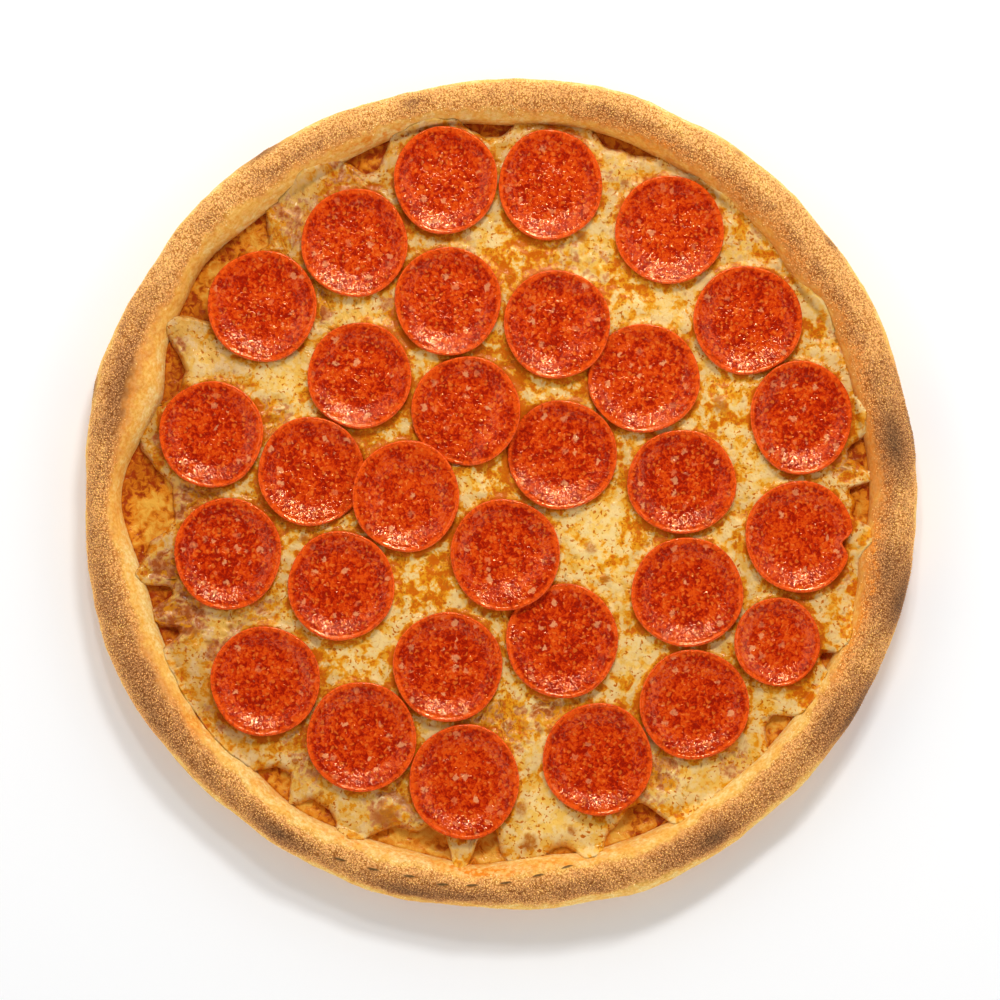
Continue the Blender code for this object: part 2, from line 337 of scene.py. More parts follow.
class Shader:
    """A material's node tree, built by short calls that return the sockets to link on."""

    def __init__(self, name, dimensions="2D"):
        self.dimensions = dimensions
        self.material = bpy.data.materials.new(name)
        self.material.use_nodes = True
        self.tree = self.material.node_tree
        self.surface = self.tree.nodes["Principled BSDF"]
        self.place = self.tree.nodes.new("ShaderNodeTexCoord").outputs["Object"]

    def node(self, kind, inputs=None, **settings):
        made = self.tree.nodes.new(kind)
        for key, value in settings.items():
            setattr(made, key, value)
        for key, value in (inputs or {}).items():
            self.feed(made.inputs[key], value)
        return made

    def feed(self, socket, value):
        if isinstance(value, bpy.types.NodeSocket):
            self.tree.links.new(value, socket)
        elif socket.type == "RGBA":
            socket.default_value = (*value, 1.0)
        else:
            socket.default_value = value

    def mask(self, name):
        return self.node("ShaderNodeAttribute", attribute_name=name).outputs["Fac"]

    def math(self, operation, first, second=0.0, clamp=False):
        made = self.node("ShaderNodeMath", {0: first, 1: second, 2: 0.0}, operation=operation)
        made.use_clamp = clamp
        return made.outputs[0]

    def times(self, first, second, clamp=False):
        return self.math("MULTIPLY", first, second, clamp)

    def plus(self, first, second):
        return self.math("ADD", first, second)

    def ramp(self, value, low, high, start=0.0, end=1.0):
        """Map low..high smoothly to start..end."""
        made = self.node("ShaderNodeMapRange", {"Value": value}, interpolation_type="SMOOTHSTEP")
        for key, amount in (("From Min", low), ("From Max", high), ("To Min", start), ("To Max", end)):
            self.feed(made.inputs[key], amount)
        return made.outputs["Result"]

    def mix(self, share, first, second):
        made = self.node("ShaderNodeMix", data_type="RGBA")
        self.feed(made.inputs[0], share)
        self.feed(made.inputs[6], first)
        self.feed(made.inputs[7], second)
        return made.outputs[2]

    def vector(self, operation, first, second=(0.0, 0.0, 0.0)):
        return self.node("ShaderNodeVectorMath", {0: first, 1: second}, operation=operation)

    def tinted(self, colour, amounts):
        """Colour times another colour, channel by channel."""
        return self.vector("MULTIPLY", colour, amounts).outputs[0]

    def texture(self, kind, size, place, **settings):
        """Pattern with lumps or cells of a size in millimetres."""
        made = self.node(kind, {"Vector": place or self.place}, **settings)
        made.inputs["Scale"].default_value = 1.0 / (size * MM)
        return made

    def noise(self, size, detail=2.0, rough=0.5, warp=0.0, place=None):
        made = self.texture("ShaderNodeTexNoise", size, place, noise_dimensions=self.dimensions)
        for key, amount in (("Detail", detail), ("Roughness", rough), ("Distortion", warp)):
            made.inputs[key].default_value = amount
        return made.outputs["Fac"]

    def cells(self, size, place=None):
        return self.texture("ShaderNodeTexVoronoi", size, place, voronoi_dimensions=self.dimensions)

    def warped(self, size, amount):
        """The place shifted by noise, in millimetres, to break up round cells."""
        made = self.texture("ShaderNodeTexNoise", size, None, noise_dimensions=self.dimensions)
        made.inputs["Detail"].default_value = 0.0
        shift = self.vector("SUBTRACT", made.outputs["Color"], (0.5, 0.5, 0.5))
        shift = self.vector("SCALE", shift.outputs[0])
        shift.inputs["Scale"].default_value = 2.0 * amount * MM
        return self.vector("ADD", self.place, shift.outputs[0]).outputs[0]

    def bump(self, height, depth, strength=1.0):
        """Relief of a depth in millimetres from a height of 0 to 1."""
        made = self.node("ShaderNodeBump", {"Height": height})
        made.inputs["Distance"].default_value = depth * MM
        made.inputs["Strength"].default_value = strength
        return made.outputs["Normal"]

    def chosen(self, pattern, share):
        """1 in a share of a cell pattern's cells, and 0 in the others."""
        parts = self.node("ShaderNodeSeparateColor", {"Color": pattern.outputs["Color"]})
        return self.math("GREATER_THAN", parts.outputs["Red"], 1.0 - share)

    def finish(self, colour, rough, normal, coat=0.0, coat_rough=0.1, specular=0.5, tint=WHITE):
        surface = self.surface
        surface.inputs["Specular Tint"].default_value = (*tint, 1.0)
        self.feed(surface.inputs["Base Color"], colour)
        self.feed(surface.inputs["Roughness"], rough)
        self.feed(surface.inputs["Normal"], normal)
        surface.inputs["Specular IOR Level"].default_value = specular
        surface.inputs["Coat Weight"].default_value = coat
        surface.inputs["Coat Roughness"].default_value = coat_rough
        if coat > 0.0:
            self.feed(surface.inputs["Coat Normal"], normal)
        return self.material


# Crust

CRUST_CREAM = (0.86, 0.62, 0.21)
CRUST_PALE = (0.85, 0.47, 0.088)
CRUST_GOLD = (0.70, 0.30, 0.063)
CRUST_BROWN = (0.37, 0.140, 0.030)
CRUST_CHAR = (0.070, 0.032, 0.014)
CRUST_OIL = (0.80, 0.23, 0.010)
# Painted shade inside the slits of the docking fork
CRUST_SLIT_SHADE = (0.10, 0.052, 0.010)
CRUST_MOTTLE_LIGHT = (1.04, 1.14, 1.45)
CRUST_MOTTLE_DARK = (0.92, 0.80, 0.50)
CRUST_GRIT_LIGHT = (1.30, 1.48, 2.25)
# Painted shade for the valleys between the grains
CRUST_VALLEY_SHADE = (0.62, 0.48, 0.29)

# Browned places on the rim: angle, radius, half-width in degrees, half-width in mm, amount. The two on
# the inner slope at 122 and 150 degrees are painted shade that carries on the north inner slope's
# darkening.
BROWNED_AND_SHADED = (
    (6, 151, 6, 6, 0.55), (29, 150, 4, 4, 0.25), (75, 153, 8, 4, 0.25), (90, 152, 6, 3, 0.18),
    (103, 153, 3, 3, 0.35), (126, 152, 6, 5, 0.2), (137, 154, 4, 3, 0.2), (152, 157, 6, 5, 0.3),
    (166, 151, 7, 5, 0.55), (184, 158, 14, 5, 0.45), (205, 157, 12, 6, 0.5), (220, 156, 10, 5, 0.5),
    (237, 156, 7, 4, 0.7), (258, 157, 9, 4, 0.65), (270, 154, 20, 4, 0.4), (285, 156, 12, 5, 0.35),
    (301, 155, 6, 5, 0.7), (315, 155, 10, 6, 0.4), (328, 156, 8, 7, 0.75), (345, 156, 6, 6, 0.8),
    (347, 149, 5, 4, 0.45), (0, 156, 10, 5, 0.3), (18, 156, 8, 5, 0.35), (122, 150, 10, 4, 0.22),
    (148, 150, 9, 4, 0.25), (182, 150, 12, 4, 0.28), (208, 150, 10, 4, 0.28), (60, 150, 12, 4, 0.12),
    (150, 145, 12, 4, 0.25), (166, 148.5, 5, 4, 0.55), (162, 152, 4, 3, 0.25),
    (122, 146, 9, 5, 0.14), (210, 151, 10, 4, 0.15), (300, 151, 9, 4, 0.14),
    (285, 145, 28, 4, 0.10), (120, 151, 8, 4, 0.10),
)
CHARRED = (
    (7, 151.5, 3.5, 3.5, 0.8), (10, 160.5, 5, 1.2, 0.9), (37, 159.2, 1.4, 0.9, 0.5),
    (55, 159.3, 1.2, 1.0, 0.35), (103, 153.5, 1.2, 1.6, 0.35), (125, 160.0, 2.5, 1.4, 0.7),
    (165, 151, 3, 2, 0.25), (166, 162, 1.6, 1.0, 0.7), (237, 155.8, 2.6, 1.8, 0.7),
    (257, 157, 3.2, 1.6, 0.55), (264, 155.5, 3.0, 1.0, 0.3), (301.5, 155.5, 2.0, 2.4, 0.8),
    (328, 160, 4.5, 1.8, 0.75), (325, 152.5, 2.0, 1.8, 0.35), (344.5, 158.5, 3.2, 3.0, 0.8),
    (348, 150.5, 2.5, 3.0, 0.35), (213, 158, 3.0, 1.6, 0.2),
)
OILED = (
    (13, 145, 6, 5, 0.35), (47, 144, 12, 3, 0.35), (64, 148, 5, 3.5, 0.6), (70, 146, 6, 2, 0.4),
    (104, 145, 8, 2.5, 0.5), (112, 145, 5, 2.5, 0.55), (123, 146, 4, 3, 0.35), (166, 148, 6, 5, 0.6),
    (180, 147, 9, 5, 0.25), (197, 147, 10, 5, 0.25), (217, 147, 4, 3.5, 0.7), (233, 143, 8, 4, 0.6),
    (246, 146, 4, 2.5, 0.5), (258, 144, 8, 3, 0.55), (267, 147, 5, 3, 0.9), (278, 144, 8, 3, 0.6),
    (292, 142, 7, 3, 0.5), (333, 147, 3, 2.5, 0.5), (340, 147, 5, 3, 0.75), (350, 146, 5, 5, 0.8),
    (358, 143.5, 5, 2.5, 0.25), (318, 143, 4, 2, 0.4), (150, 144, 6, 2.5, 0.35), (90, 144, 6, 2, 0.35),
)
# Raised blisters on the rim: angle, radius, height and radius of each in millimetres
RIM_BLISTERS = (
    (166, 147, 1.8, 9), (217, 147.5, 0.9, 4), (109, 155.2, 0.5, 0.9), (64, 149, 0.5, 5),
    (352, 148, 0.7, 5), (30, 152, 0.4, 6), (233, 148, 0.5, 4), (102, 158, 0.5, 4),
)
# Where the pale lip of the rim starts, as a share of the rim's width, and how that changes
# along the rim: angle, change, half-width
LIP_START = 0.885
LIP_SWELLS = (
    (8, 0.14, 9), (38, 0.06, 8), (105, 0.06, 10), (150, 0.08, 12), (185, 0.06, 14), (208, 0.10, 9),
    (240, 0.06, 6), (291, -0.05, 8), (315, -0.03, 6), (331, 0.14, 7), (347, 0.14, 8),
)
# Slits of the docking fork: angle, radius
SLITS = (
    (251.4, 152.6), (256.7, 151.4), (261.6, 152.0), (265.8, 151.2), (270.7, 149.8), (275.5, 147.8),
    (279.9, 146.2), (289.0, 141.6), (293.8, 141.0), (246.5, 153.6),
)
# Half-length, half-width and depth of a slit
SLIT_SIZE = (2.0, 0.6, 0.7)
# Fold in the lip: angle, radius, half-width in degrees, half-width in mm, depth
FOLD = (14.5, 158.8, 3.5, 0.5, 0.6)
# Where the dough bulges inwards: angle, half-width
BULGE = (165.0, 6.5)

# The fine section: rings on the floor, points of its three arcs and rings on the base
FLOOR_RINGS = (40.0, 90.0, 120.0, 132.0, 138.0, 141.0)
INNER_ARC = 34
OUTER_ARC = 32
LOWER_ARC = 20
BASE_RINGS = (148.0, 140.0, 120.0, 80.0, 40.0)
FOOT_ROW = len(FLOOR_RINGS)
CREST_ROW = FOOT_ROW + INNER_ARC
SIDE_ROW = CREST_ROW + OUTER_ARC
BASE_ROW = SIDE_ROW + LOWER_ARC
# Mean length in millimetres of a degree along the rim and of a row across it
DEGREE_LENGTH = 2.65
ROW_LENGTH = 0.55


def rim_patches(angle, radius, rows):
    """Soft patches along the rim from angle, radius, half-widths and amount, added up to 1."""
    total = np.zeros_like(angle)
    for centre, middle, half_angle, half_radius, amount in rows:
        along = turn_between(angle, centre) / half_angle
        across = (radius - middle) / half_radius
        total += amount * np.exp(-(along ** 2 + across ** 2) * 0.7)
    return np.clip(total, 0.0, 1.0)


def quarter_arc(start, end, points, upright):
    """Points of a quarter of an ellipse after its start, leaving it upright or level."""
    turn = np.radians(90.0 * np.arange(1, points + 1) / points)
    first, second = 1.0 - np.cos(turn), np.sin(turn)
    if not upright:
        first, second = second, first
    return np.stack((start[0] + (end[0] - start[0]) * first, start[1] + (end[1] - start[1]) * second), -1)


def crust_profile():
    """Fine section of the crust, from the floor's middle over the rim to the base's middle."""
    rim_width = OUTER_RADIUS - FOOT_RADIUS
    foot = (FOOT_RADIUS, FLOOR_HEIGHT)
    crest = (FOOT_RADIUS + CREST_SHARE * rim_width, CREST_HEIGHT)
    side = (OUTER_RADIUS, SIDE_HEIGHT)
    base = (FOOT_RADIUS + BASE_SHARE * rim_width, 0.0)
    inside = [(radius, FLOOR_HEIGHT) for radius in FLOOR_RINGS]
    below = [(radius, 0.0) for radius in BASE_RINGS]
    return np.concatenate((
        inside, [foot], quarter_arc(foot, crest, INNER_ARC, True),
        quarter_arc(crest, side, OUTER_ARC, False), quarter_arc(side, base, LOWER_ARC, True), below))


def crust_grid():
    """Angle, radius and height of the crust's fine grid, before its relief."""
    profile = crust_profile()
    angle = np.arange(RIM_TURN_STEPS) * 360.0 / RIM_TURN_STEPS
    angle, radius = np.meshgrid(angle, profile[:, 0])
    height = np.repeat(profile[:, 1][:, None], RIM_TURN_STEPS, axis=1)
    foot, outer = foot_radius(angle), outer_radius(angle)
    share = (radius - FOOT_RADIUS) / (OUTER_RADIUS - FOOT_RADIUS)
    radius = np.where(share > 0.0, foot + share * (outer - foot), radius * foot / FOOT_RADIUS)
    rise = (height - FLOOR_HEIGHT) / (CREST_HEIGHT - FLOOR_HEIGHT)
    high = FLOOR_HEIGHT + rise * (crest_height(angle) - FLOOR_HEIGHT)
    height = np.where(height > FLOOR_HEIGHT, high, height)
    return angle, radius, height


def make_crust_material():
    shader = Shader("baked_crust", dimensions="3D")
    bake_and_shade, char = shader.mask("bake_and_shade"), shader.mask("char")
    oil_and_shade, grain = shader.mask("oil_and_shade"), shader.mask("grain")
    dots = shader.cells(1.0)
    speckle = shader.noise(0.7, detail=2.0, rough=0.7)
    broad = shader.noise(5.0, detail=3.0, rough=0.6)
    # The bake_and_shade mask holds browning together with painted shade on the north and east inner slope
    # and painted light on the south.
    baked = shader.plus(bake_and_shade, shader.ramp(broad, 0.3, 0.7, -0.12, 0.12))
    fleck = shader.ramp(speckle, 0.3, 0.7, -0.10, 0.10)
    baked = shader.plus(baked, shader.times(fleck, grain))
    colour = shader.mix(shader.ramp(baked, 0.0, 0.22), CRUST_CREAM, CRUST_PALE)
    colour = shader.mix(shader.ramp(baked, 0.18, 0.5), colour, CRUST_GOLD)
    colour = shader.mix(shader.ramp(baked, 0.5, 1.0), colour, CRUST_BROWN)
    stain = shader.ramp(shader.noise(2.2, detail=3.0, rough=0.65), 0.44, 0.58, 0.30, 1.05)
    # The oil_and_shade mask holds oily stains together with painted shade on the north and east inner
    # slope.
    colour = shader.mix(shader.times(stain, oil_and_shade, clamp=True), colour, CRUST_OIL)
    # Grain pattern: pale grain tops, and painted shade darkening the valleys between them.
    grit_and_valley_shade = shader.plus(dots.outputs["Distance"], shader.ramp(speckle, 0.3, 0.7, 0.22, -0.22))
    grit_and_valley_shade = shader.mix(shader.ramp(grit_and_valley_shade, 0.20, 0.80), CRUST_GRIT_LIGHT, CRUST_VALLEY_SHADE)
    mottle = shader.ramp(shader.noise(1.5, detail=3.0, rough=0.65), 0.34, 0.66)
    mottle = shader.mix(mottle, CRUST_MOTTLE_DARK, CRUST_MOTTLE_LIGHT)
    colour = shader.tinted(colour, shader.mix(grain, mottle, grit_and_valley_shade))
    burnt = shader.times(char, shader.ramp(speckle, 0.25, 0.7, 1.2, 0.6), clamp=True)
    colour = shader.mix(burnt, colour, CRUST_CHAR)
    # Painted shade: the docking slits darkened to stand for the shade inside them.
    across = shader.math("ABSOLUTE", shader.mask("slit_across"))
    along = shader.math("POWER", shader.mask("slit_along"), 2.0)
    reach = shader.plus(across, shader.times(along, 0.07))
    colour = shader.mix(shader.ramp(reach, 0.62, 0.26, 0.0, 0.9), colour, CRUST_SLIT_SHADE)
    height = shader.times(shader.ramp(dots.outputs["Distance"], 0.7, 0.0), grain)
    height = shader.plus(height, shader.times(speckle, 0.4))
    normal = shader.bump(height, 0.24, 0.9)
    rough = shader.ramp(oil_and_shade, 0.0, 1.0, 0.72, 0.36)
    return shader.finish(colour, rough, normal, specular=0.2)


class RimGrid:
    """The crust's fine grid, with what its relief and its masks share."""

    def __init__(self):
        self.angle, self.radius, self.height = crust_grid()
        self.turn = np.radians(self.angle)
        outer, foot = outer_radius(self.angle), foot_radius(self.angle)
        self.share = (self.radius - foot) / (outer - foot)
        self.row = np.arange(self.angle.shape[0])[:, None] + np.zeros_like(self.angle)
        self.inner = self.row <= CREST_ROW
        self.edge_noise = 0.07 * self.noise(9.0, 9) + 0.05 * self.noise(3.0, 10)
        east = smooth_step(-0.2, 0.8, np.cos(self.turn - 0.3))
        centre, half_width = BULGE
        bulge = np.exp(-(turn_between(self.angle, centre) / half_width) ** 2)
        self.grain_share = self.share + self.edge_noise + 0.13 * east - 0.20 * bulge
        lip_start = LIP_START + swells(self.angle, LIP_SWELLS) + 0.5 * self.edge_noise
        lip = np.where(self.inner, 0.0, smooth_step(-0.06, 0.07, self.share - lip_start))
        self.lip = np.where(self.row > SIDE_ROW, 1.0, lip)
        grain = np.where(self.inner, smooth_step(0.20, 0.44, self.grain_share), 1.0)
        self.grain = grain * (1.0 - 0.8 * self.lip)

    def noise(self, size, seed):
        """Noise with lumps of a size in millimetres, joined up round the rim."""
        count = round(360.0 * DEGREE_LENGTH / size)
        return noise(self.angle / 360.0 * count, self.row * ROW_LENGTH / size, seed, period=count)


def slit_distances(rim):
    """How far each vertex lies from the slit nearest to it, across that slit and along it."""
    slit_across, slit_along = np.full_like(rim.angle, FAR), np.full_like(rim.angle, FAR)
    for centre, middle in SLITS:
        along = np.radians(turn_between(rim.angle, centre)) * middle
        across = rim.radius - middle + 0.12 * along
        along = np.abs(along)
        closer = np.hypot(across, along) < np.hypot(slit_across, slit_along)
        closer &= rim.row < CREST_ROW + 20
        slit_across = np.where(closer, across, slit_across)
        slit_along = np.where(closer, along, slit_along)
    return slit_across, slit_along


def rim_relief(rim, slit_across, slit_along):
    """Waves, lumps, blisters, slits and a fold on the rim, in millimetres along its normals."""
    soft = 0.6 + 0.4 * smooth_step(0.2, 0.5, rim.share)
    relief = (0.50 * rim.noise(17.0, 3) + 0.26 * rim.noise(7.0, 5)) * soft + 0.12 * rim.noise(3.0, 7)
    relief += rim.grain * (0.08 * rim.noise(1.6, 11) + 0.05)
    for centre, middle, rise, size in RIM_BLISTERS:
        along = np.radians(turn_between(rim.angle, centre)) * middle
        apart = np.hypot(along, rim.radius - middle) / size
        relief += rise * np.exp(-apart ** 2 * 1.2)
    half_length, half_width, depth = SLIT_SIZE
    relief -= depth * np.exp(-((slit_along / half_length) ** 4 + (slit_across / half_width) ** 2))
    centre, middle, half_angle, half_radius, depth = FOLD
    along = turn_between(rim.angle, centre) / half_angle
    across = (rim.radius - middle) / half_radius
    relief -= depth * np.exp(-along ** 4 - across ** 2) * (rim.row < SIDE_ROW)
    above_foot = smooth_step(FOOT_ROW, FOOT_ROW + 7, rim.row)
    return relief * above_foot * fade(SIDE_ROW + 5, BASE_ROW + 4, rim.row)


def rim_masks(rim):
    """How baked, charred and oily each vertex of the crust is, with painted shade darkening the north and
    east of the inner slope and painted light on the south.
    """
    # south marks the rim's south side, left less browned as painted light; shaded marks the north and east
    # of the inner slope, darkened as painted shade.
    south = smooth_step(-0.3, 0.5, -np.sin(rim.turn))
    shaded = smooth_step(-0.75, 0.1, np.sin(rim.turn)) * smooth_step(-1.0, 0.6, np.cos(rim.turn + 0.35))
    below = smooth_step(SIDE_ROW, SIDE_ROW + 8, rim.row)
    bake_and_shade = 0.03 + (0.40 - 0.07 * south) * smooth_step(0.22, 0.46, rim.grain_share)
    bake_and_shade += (0.09 * rim.noise(14.0, 21) + 0.07 * rim.noise(5.0, 23)) * (0.3 + 0.7 * rim.grain)
    bake_and_shade += rim_patches(rim.angle, rim.radius, BROWNED_AND_SHADED) * 0.75
    bake_and_shade = bake_and_shade * (1.0 - 0.72 * rim.lip)
    bake_and_shade += 0.22 * below + 0.28 * smooth_step(BASE_ROW - 4, BASE_ROW + 1, rim.row)
    char = rim_patches(rim.angle, rim.radius, CHARRED) * (1.0 - below)
    bake_and_shade += 0.6 * char
    # Painted shade: more browning on the north and east of the inner slope.
    bake_and_shade += 0.34 * shaded * fade(0.3, 0.7, rim.share) * rim.inner
    # Painted shade: oily colour added away from the south and on the north and east inner slope.
    oil_and_shade = np.maximum(rim_patches(rim.angle, rim.radius, OILED), 0.30 * (1.0 - south) + 0.22 * shaded)
    oil_and_shade = oil_and_shade * fade(0.22, 0.52, rim.share + rim.edge_noise) * rim.inner
    oil_and_shade = np.maximum(oil_and_shade, 0.8 * fade(FOOT_ROW - 1, FOOT_ROW + 3, rim.row))
    return {"bake_and_shade": bake_and_shade, "char": char, "oil_and_shade": oil_and_shade, "grain": rim.grain}


def make_crust():
    rim = RimGrid()
    x, y = rim.radius * np.cos(rim.turn), rim.radius * np.sin(rim.turn)
    normal = grid_normals(x, y, rim.height, closed=True)
    slit_across, slit_along = slit_distances(rim)
    relief = rim_relief(rim, slit_across, slit_along)
    x, y = x + normal[..., 0] * relief, y + normal[..., 1] * relief
    height = np.maximum(rim.height + normal[..., 2] * relief, 0.0)
    points = np.concatenate((vertices(x, y, height), [[0.0, 0.0, FLOOR_HEIGHT], [0.0, 0.0, 0.0]]))
    faces = ring_faces(RIM_TURN_STEPS, len(height))
    masks = rim_masks(rim)
    masks.update({"slit_across": slit_across, "slit_along": slit_along})
    masks = {key: np.append(values.ravel(), (values[0, 0], values[-1, 0])) for key, values in masks.items()}
    return make_piece("crust_baked", points, faces, make_crust_material(), ["crust"], masks)


# Sauce

SAUCE_RED = (0.36, 0.040, 0.003)
SAUCE_ORANGE = (0.62, 0.17, 0.008)
SAUCE_STAINED = (0.76, 0.24, 0.012)
SAUCE_DOUGH = (0.88, 0.45, 0.060)
SAUCE_SHINE = (1.0, 0.6, 0.25)

# Rings of the sauce's mesh as shares of its radius: far apart in the middle, close near the rim
SAUCE_SHARES = np.concatenate(([0.25, 0.5, 0.7, 0.8, 0.86], np.linspace(0.875, 1.0, 22)))
# How far the sauce runs under the foot of the rim, and how far its edge rises there
SAUCE_REACH = 0.25
SAUCE_RISE = 0.9

# Where oily dough shows through thin sauce: x, y, radius and strength
THIN_SAUCE = (
    (-44, -132, 12, 1.0), (-28, -138, 12, 1.0), (-5, -134, 14, 1.0), (42, -132, 14, 1.0),
    (104, -90, 9, 0.9), (-134, -9, 12, 1.0), (-132, -20, 9, 0.9), (-127, 0, 7, 0.9),
    (-75, -115, 15, 0.9), (22, -139, 12, 1.0), (140, 6, 9, 0.5), (137, -10, 8, 0.8),
    (-95, 98, 9, 0.9), (-108, 80, 12, 1.0), (-122, 68, 7, 0.4), (-50, 128, 7, 0.4),
    (-138, -20, 6, 0.7), (124, -66, 6, 0.7),
)


def make_sauce_material():
    shader = Shader("tomato_sauce")
    thin = shader.mask("thin")
    lumps = shader.noise(2.6, detail=3.0, rough=0.6, warp=0.4)
    broad = shader.noise(7.0, detail=1.0)
    colour = shader.mix(shader.ramp(lumps, 0.35, 0.65), SAUCE_RED, SAUCE_ORANGE)
    patchy = shader.plus(thin, shader.ramp(lumps, 0.30, 0.70, -0.35, 0.25))
    patchy = shader.plus(patchy, shader.ramp(broad, 0.35, 0.65, -0.40, 0.10))
    colour = shader.mix(shader.ramp(patchy, 0.05, 0.60), colour, SAUCE_STAINED)
    colour = shader.mix(shader.ramp(patchy, 0.45, 1.15), colour, SAUCE_DOUGH)
    normal = shader.bump(lumps, 0.4, 0.9)
    return shader.finish(colour, 0.3, normal, coat=0.1, coat_rough=0.08, specular=0.3, tint=SAUCE_SHINE)


def make_sauce():
    """Sauce and the oily dough under it, up to the foot of the rim."""
    angle = np.arange(SAUCE_TURN_STEPS) * 360.0 / SAUCE_TURN_STEPS
    angle, share = np.meshgrid(angle, SAUCE_SHARES)
    radius = share * (foot_radius(angle) + SAUCE_REACH)
    turn = np.radians(angle)
    x, y = radius * np.cos(turn), radius * np.sin(turn)
    height = SAUCE_TOP + 0.25 * layered(x, y, 6.0, 41) + 0.15 * layered(x, y, 2.0, 43)
    height += SAUCE_RISE * smooth_step(0.965, 1.0, share)
    thin = np.maximum(patches(x, y, THIN_SAUCE), 0.55 * smooth_step(-0.2, 0.5, -np.sin(turn - 0.3)))
    edge = vertices(x[-1], y[-1], np.full(SAUCE_TURN_STEPS, SAUCE_LOW))
    middle = [[0.0, 0.0, SAUCE_TOP], [0.0, 0.0, SAUCE_LOW]]
    points = np.concatenate((vertices(x, y, height), edge, middle))
    faces = ring_faces(SAUCE_TURN_STEPS, len(SAUCE_SHARES) + 1)
    masks = {"thin": np.concatenate((thin.ravel(), np.zeros(SAUCE_TURN_STEPS + 2)))}
    return make_piece("sauce_layer", points, faces, make_sauce_material(), ["sauce"], masks)


# Slices

PEPPERONI_DARK = (0.33, 0.008, 0.0008)
PEPPERONI_RED = (0.56, 0.026, 0.0012)
PEPPERONI_ORANGE = (0.74, 0.075, 0.004)
PEPPERONI_RING = (0.88, 0.102, 0.006)
PEPPERONI_FAT = (0.86, 0.36, 0.15)
PEPPERONI_SPECK = (0.88, 0.19, 0.022)
# Darker tint for a band just inside the ring, all round the slice
PEPPERONI_INNER_BAND = (0.92, 0.84, 0.80)
PEPPERONI_SHINE = (1.0, 0.48, 0.15)

# Rings of a slice's top as shares of its radius, then its edge as shares of radius and
# thickness, then the rings of its underside
SLICE_TOP_SHARES = np.concatenate(([0.08], np.linspace(0.16, 0.86, 15), np.linspace(0.89, 0.985, 6)))
SLICE_EDGE = ((0.997, 0.86), (1.004, 0.6), (1.002, 0.32), (0.99, 0.10), (0.965, 0.0))
SLICE_UNDER_SHARES = (0.9, 0.8, 0.62, 0.3)
# Rounded bead along a slice's edge: share of the radius, half-width as a share, height
SLICE_BEAD = (0.974, 0.028, 0.27)


def slice_frame(number):
    """Middle, half-width and half-height of a slice, from its solid."""
    low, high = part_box("pepperoni_{:02d}".format(number))
    middle = (low + high) / 2.0
    half = (high - low) / 2.0
    return middle.x / MM, middle.y / MM, half.x / MM, half.y / MM


SLICE_FRAMES = [slice_frame(number) for number in range(1, SLICE_COUNT + 1)]


def beside(angle, centre):
    """1 towards a neighbour's direction, and 0 away from it."""
    apart = np.abs(turn_between(angle, centre))
    return fade(OVERLAP_PLATEAU, OVERLAP_PLATEAU + OVERLAP_FADE, apart)


def direction(number, other):
    """Direction from one slice's middle to another's."""
    from_x, from_y = SLICE_FRAMES[number - 1][:2]
    to_x, to_y = SLICE_FRAMES[other - 1][:2]
    return math.degrees(math.atan2(to_y - from_y, to_x - from_x))


def slice_rise(number, share, angle):
    """How far a slice has risen at a share of its radius: its curl and its bends."""
    curl = SLICE_CURL * (1.0 + CURL_WAVE * np.sin(2.0 * np.radians(angle) + 1.7 * number))
    curled = smooth_step(*CURL_SPAN, share)
    rise = curl * curled
    for upper, lower in OVERLAPS:
        if number == lower:
            pressed = beside(angle, direction(lower, upper))
            rise = rise + pressed * (OVERLAP_PRESSED_CURL * curled - rise)
        if number == upper:
            lifted = beside(angle, direction(upper, lower))
            rise = rise + lifted * (OVERLAP_RISE * smooth_step(*OVERLAP_SPAN, share) - rise)
    return rise


def slice_wobble(number, share, angle):
    """How far a slice's edge leaves a round, as a factor near 1."""
    turn = np.radians(angle)
    wobble = 1.0 + 0.008 * np.sin(3.0 * turn + number) + 0.006 * np.sin(5.0 * turn - number)
    if number == NICK[0]:
        _, centre, depth, nick_width = NICK
        nick = np.exp(-(turn_between(angle, centre) / nick_width) ** 2)
        wobble = wobble - depth / SLICE_FRAMES[number - 1][2] * nick * smooth_step(0.6, 1.0, share)
    return wobble


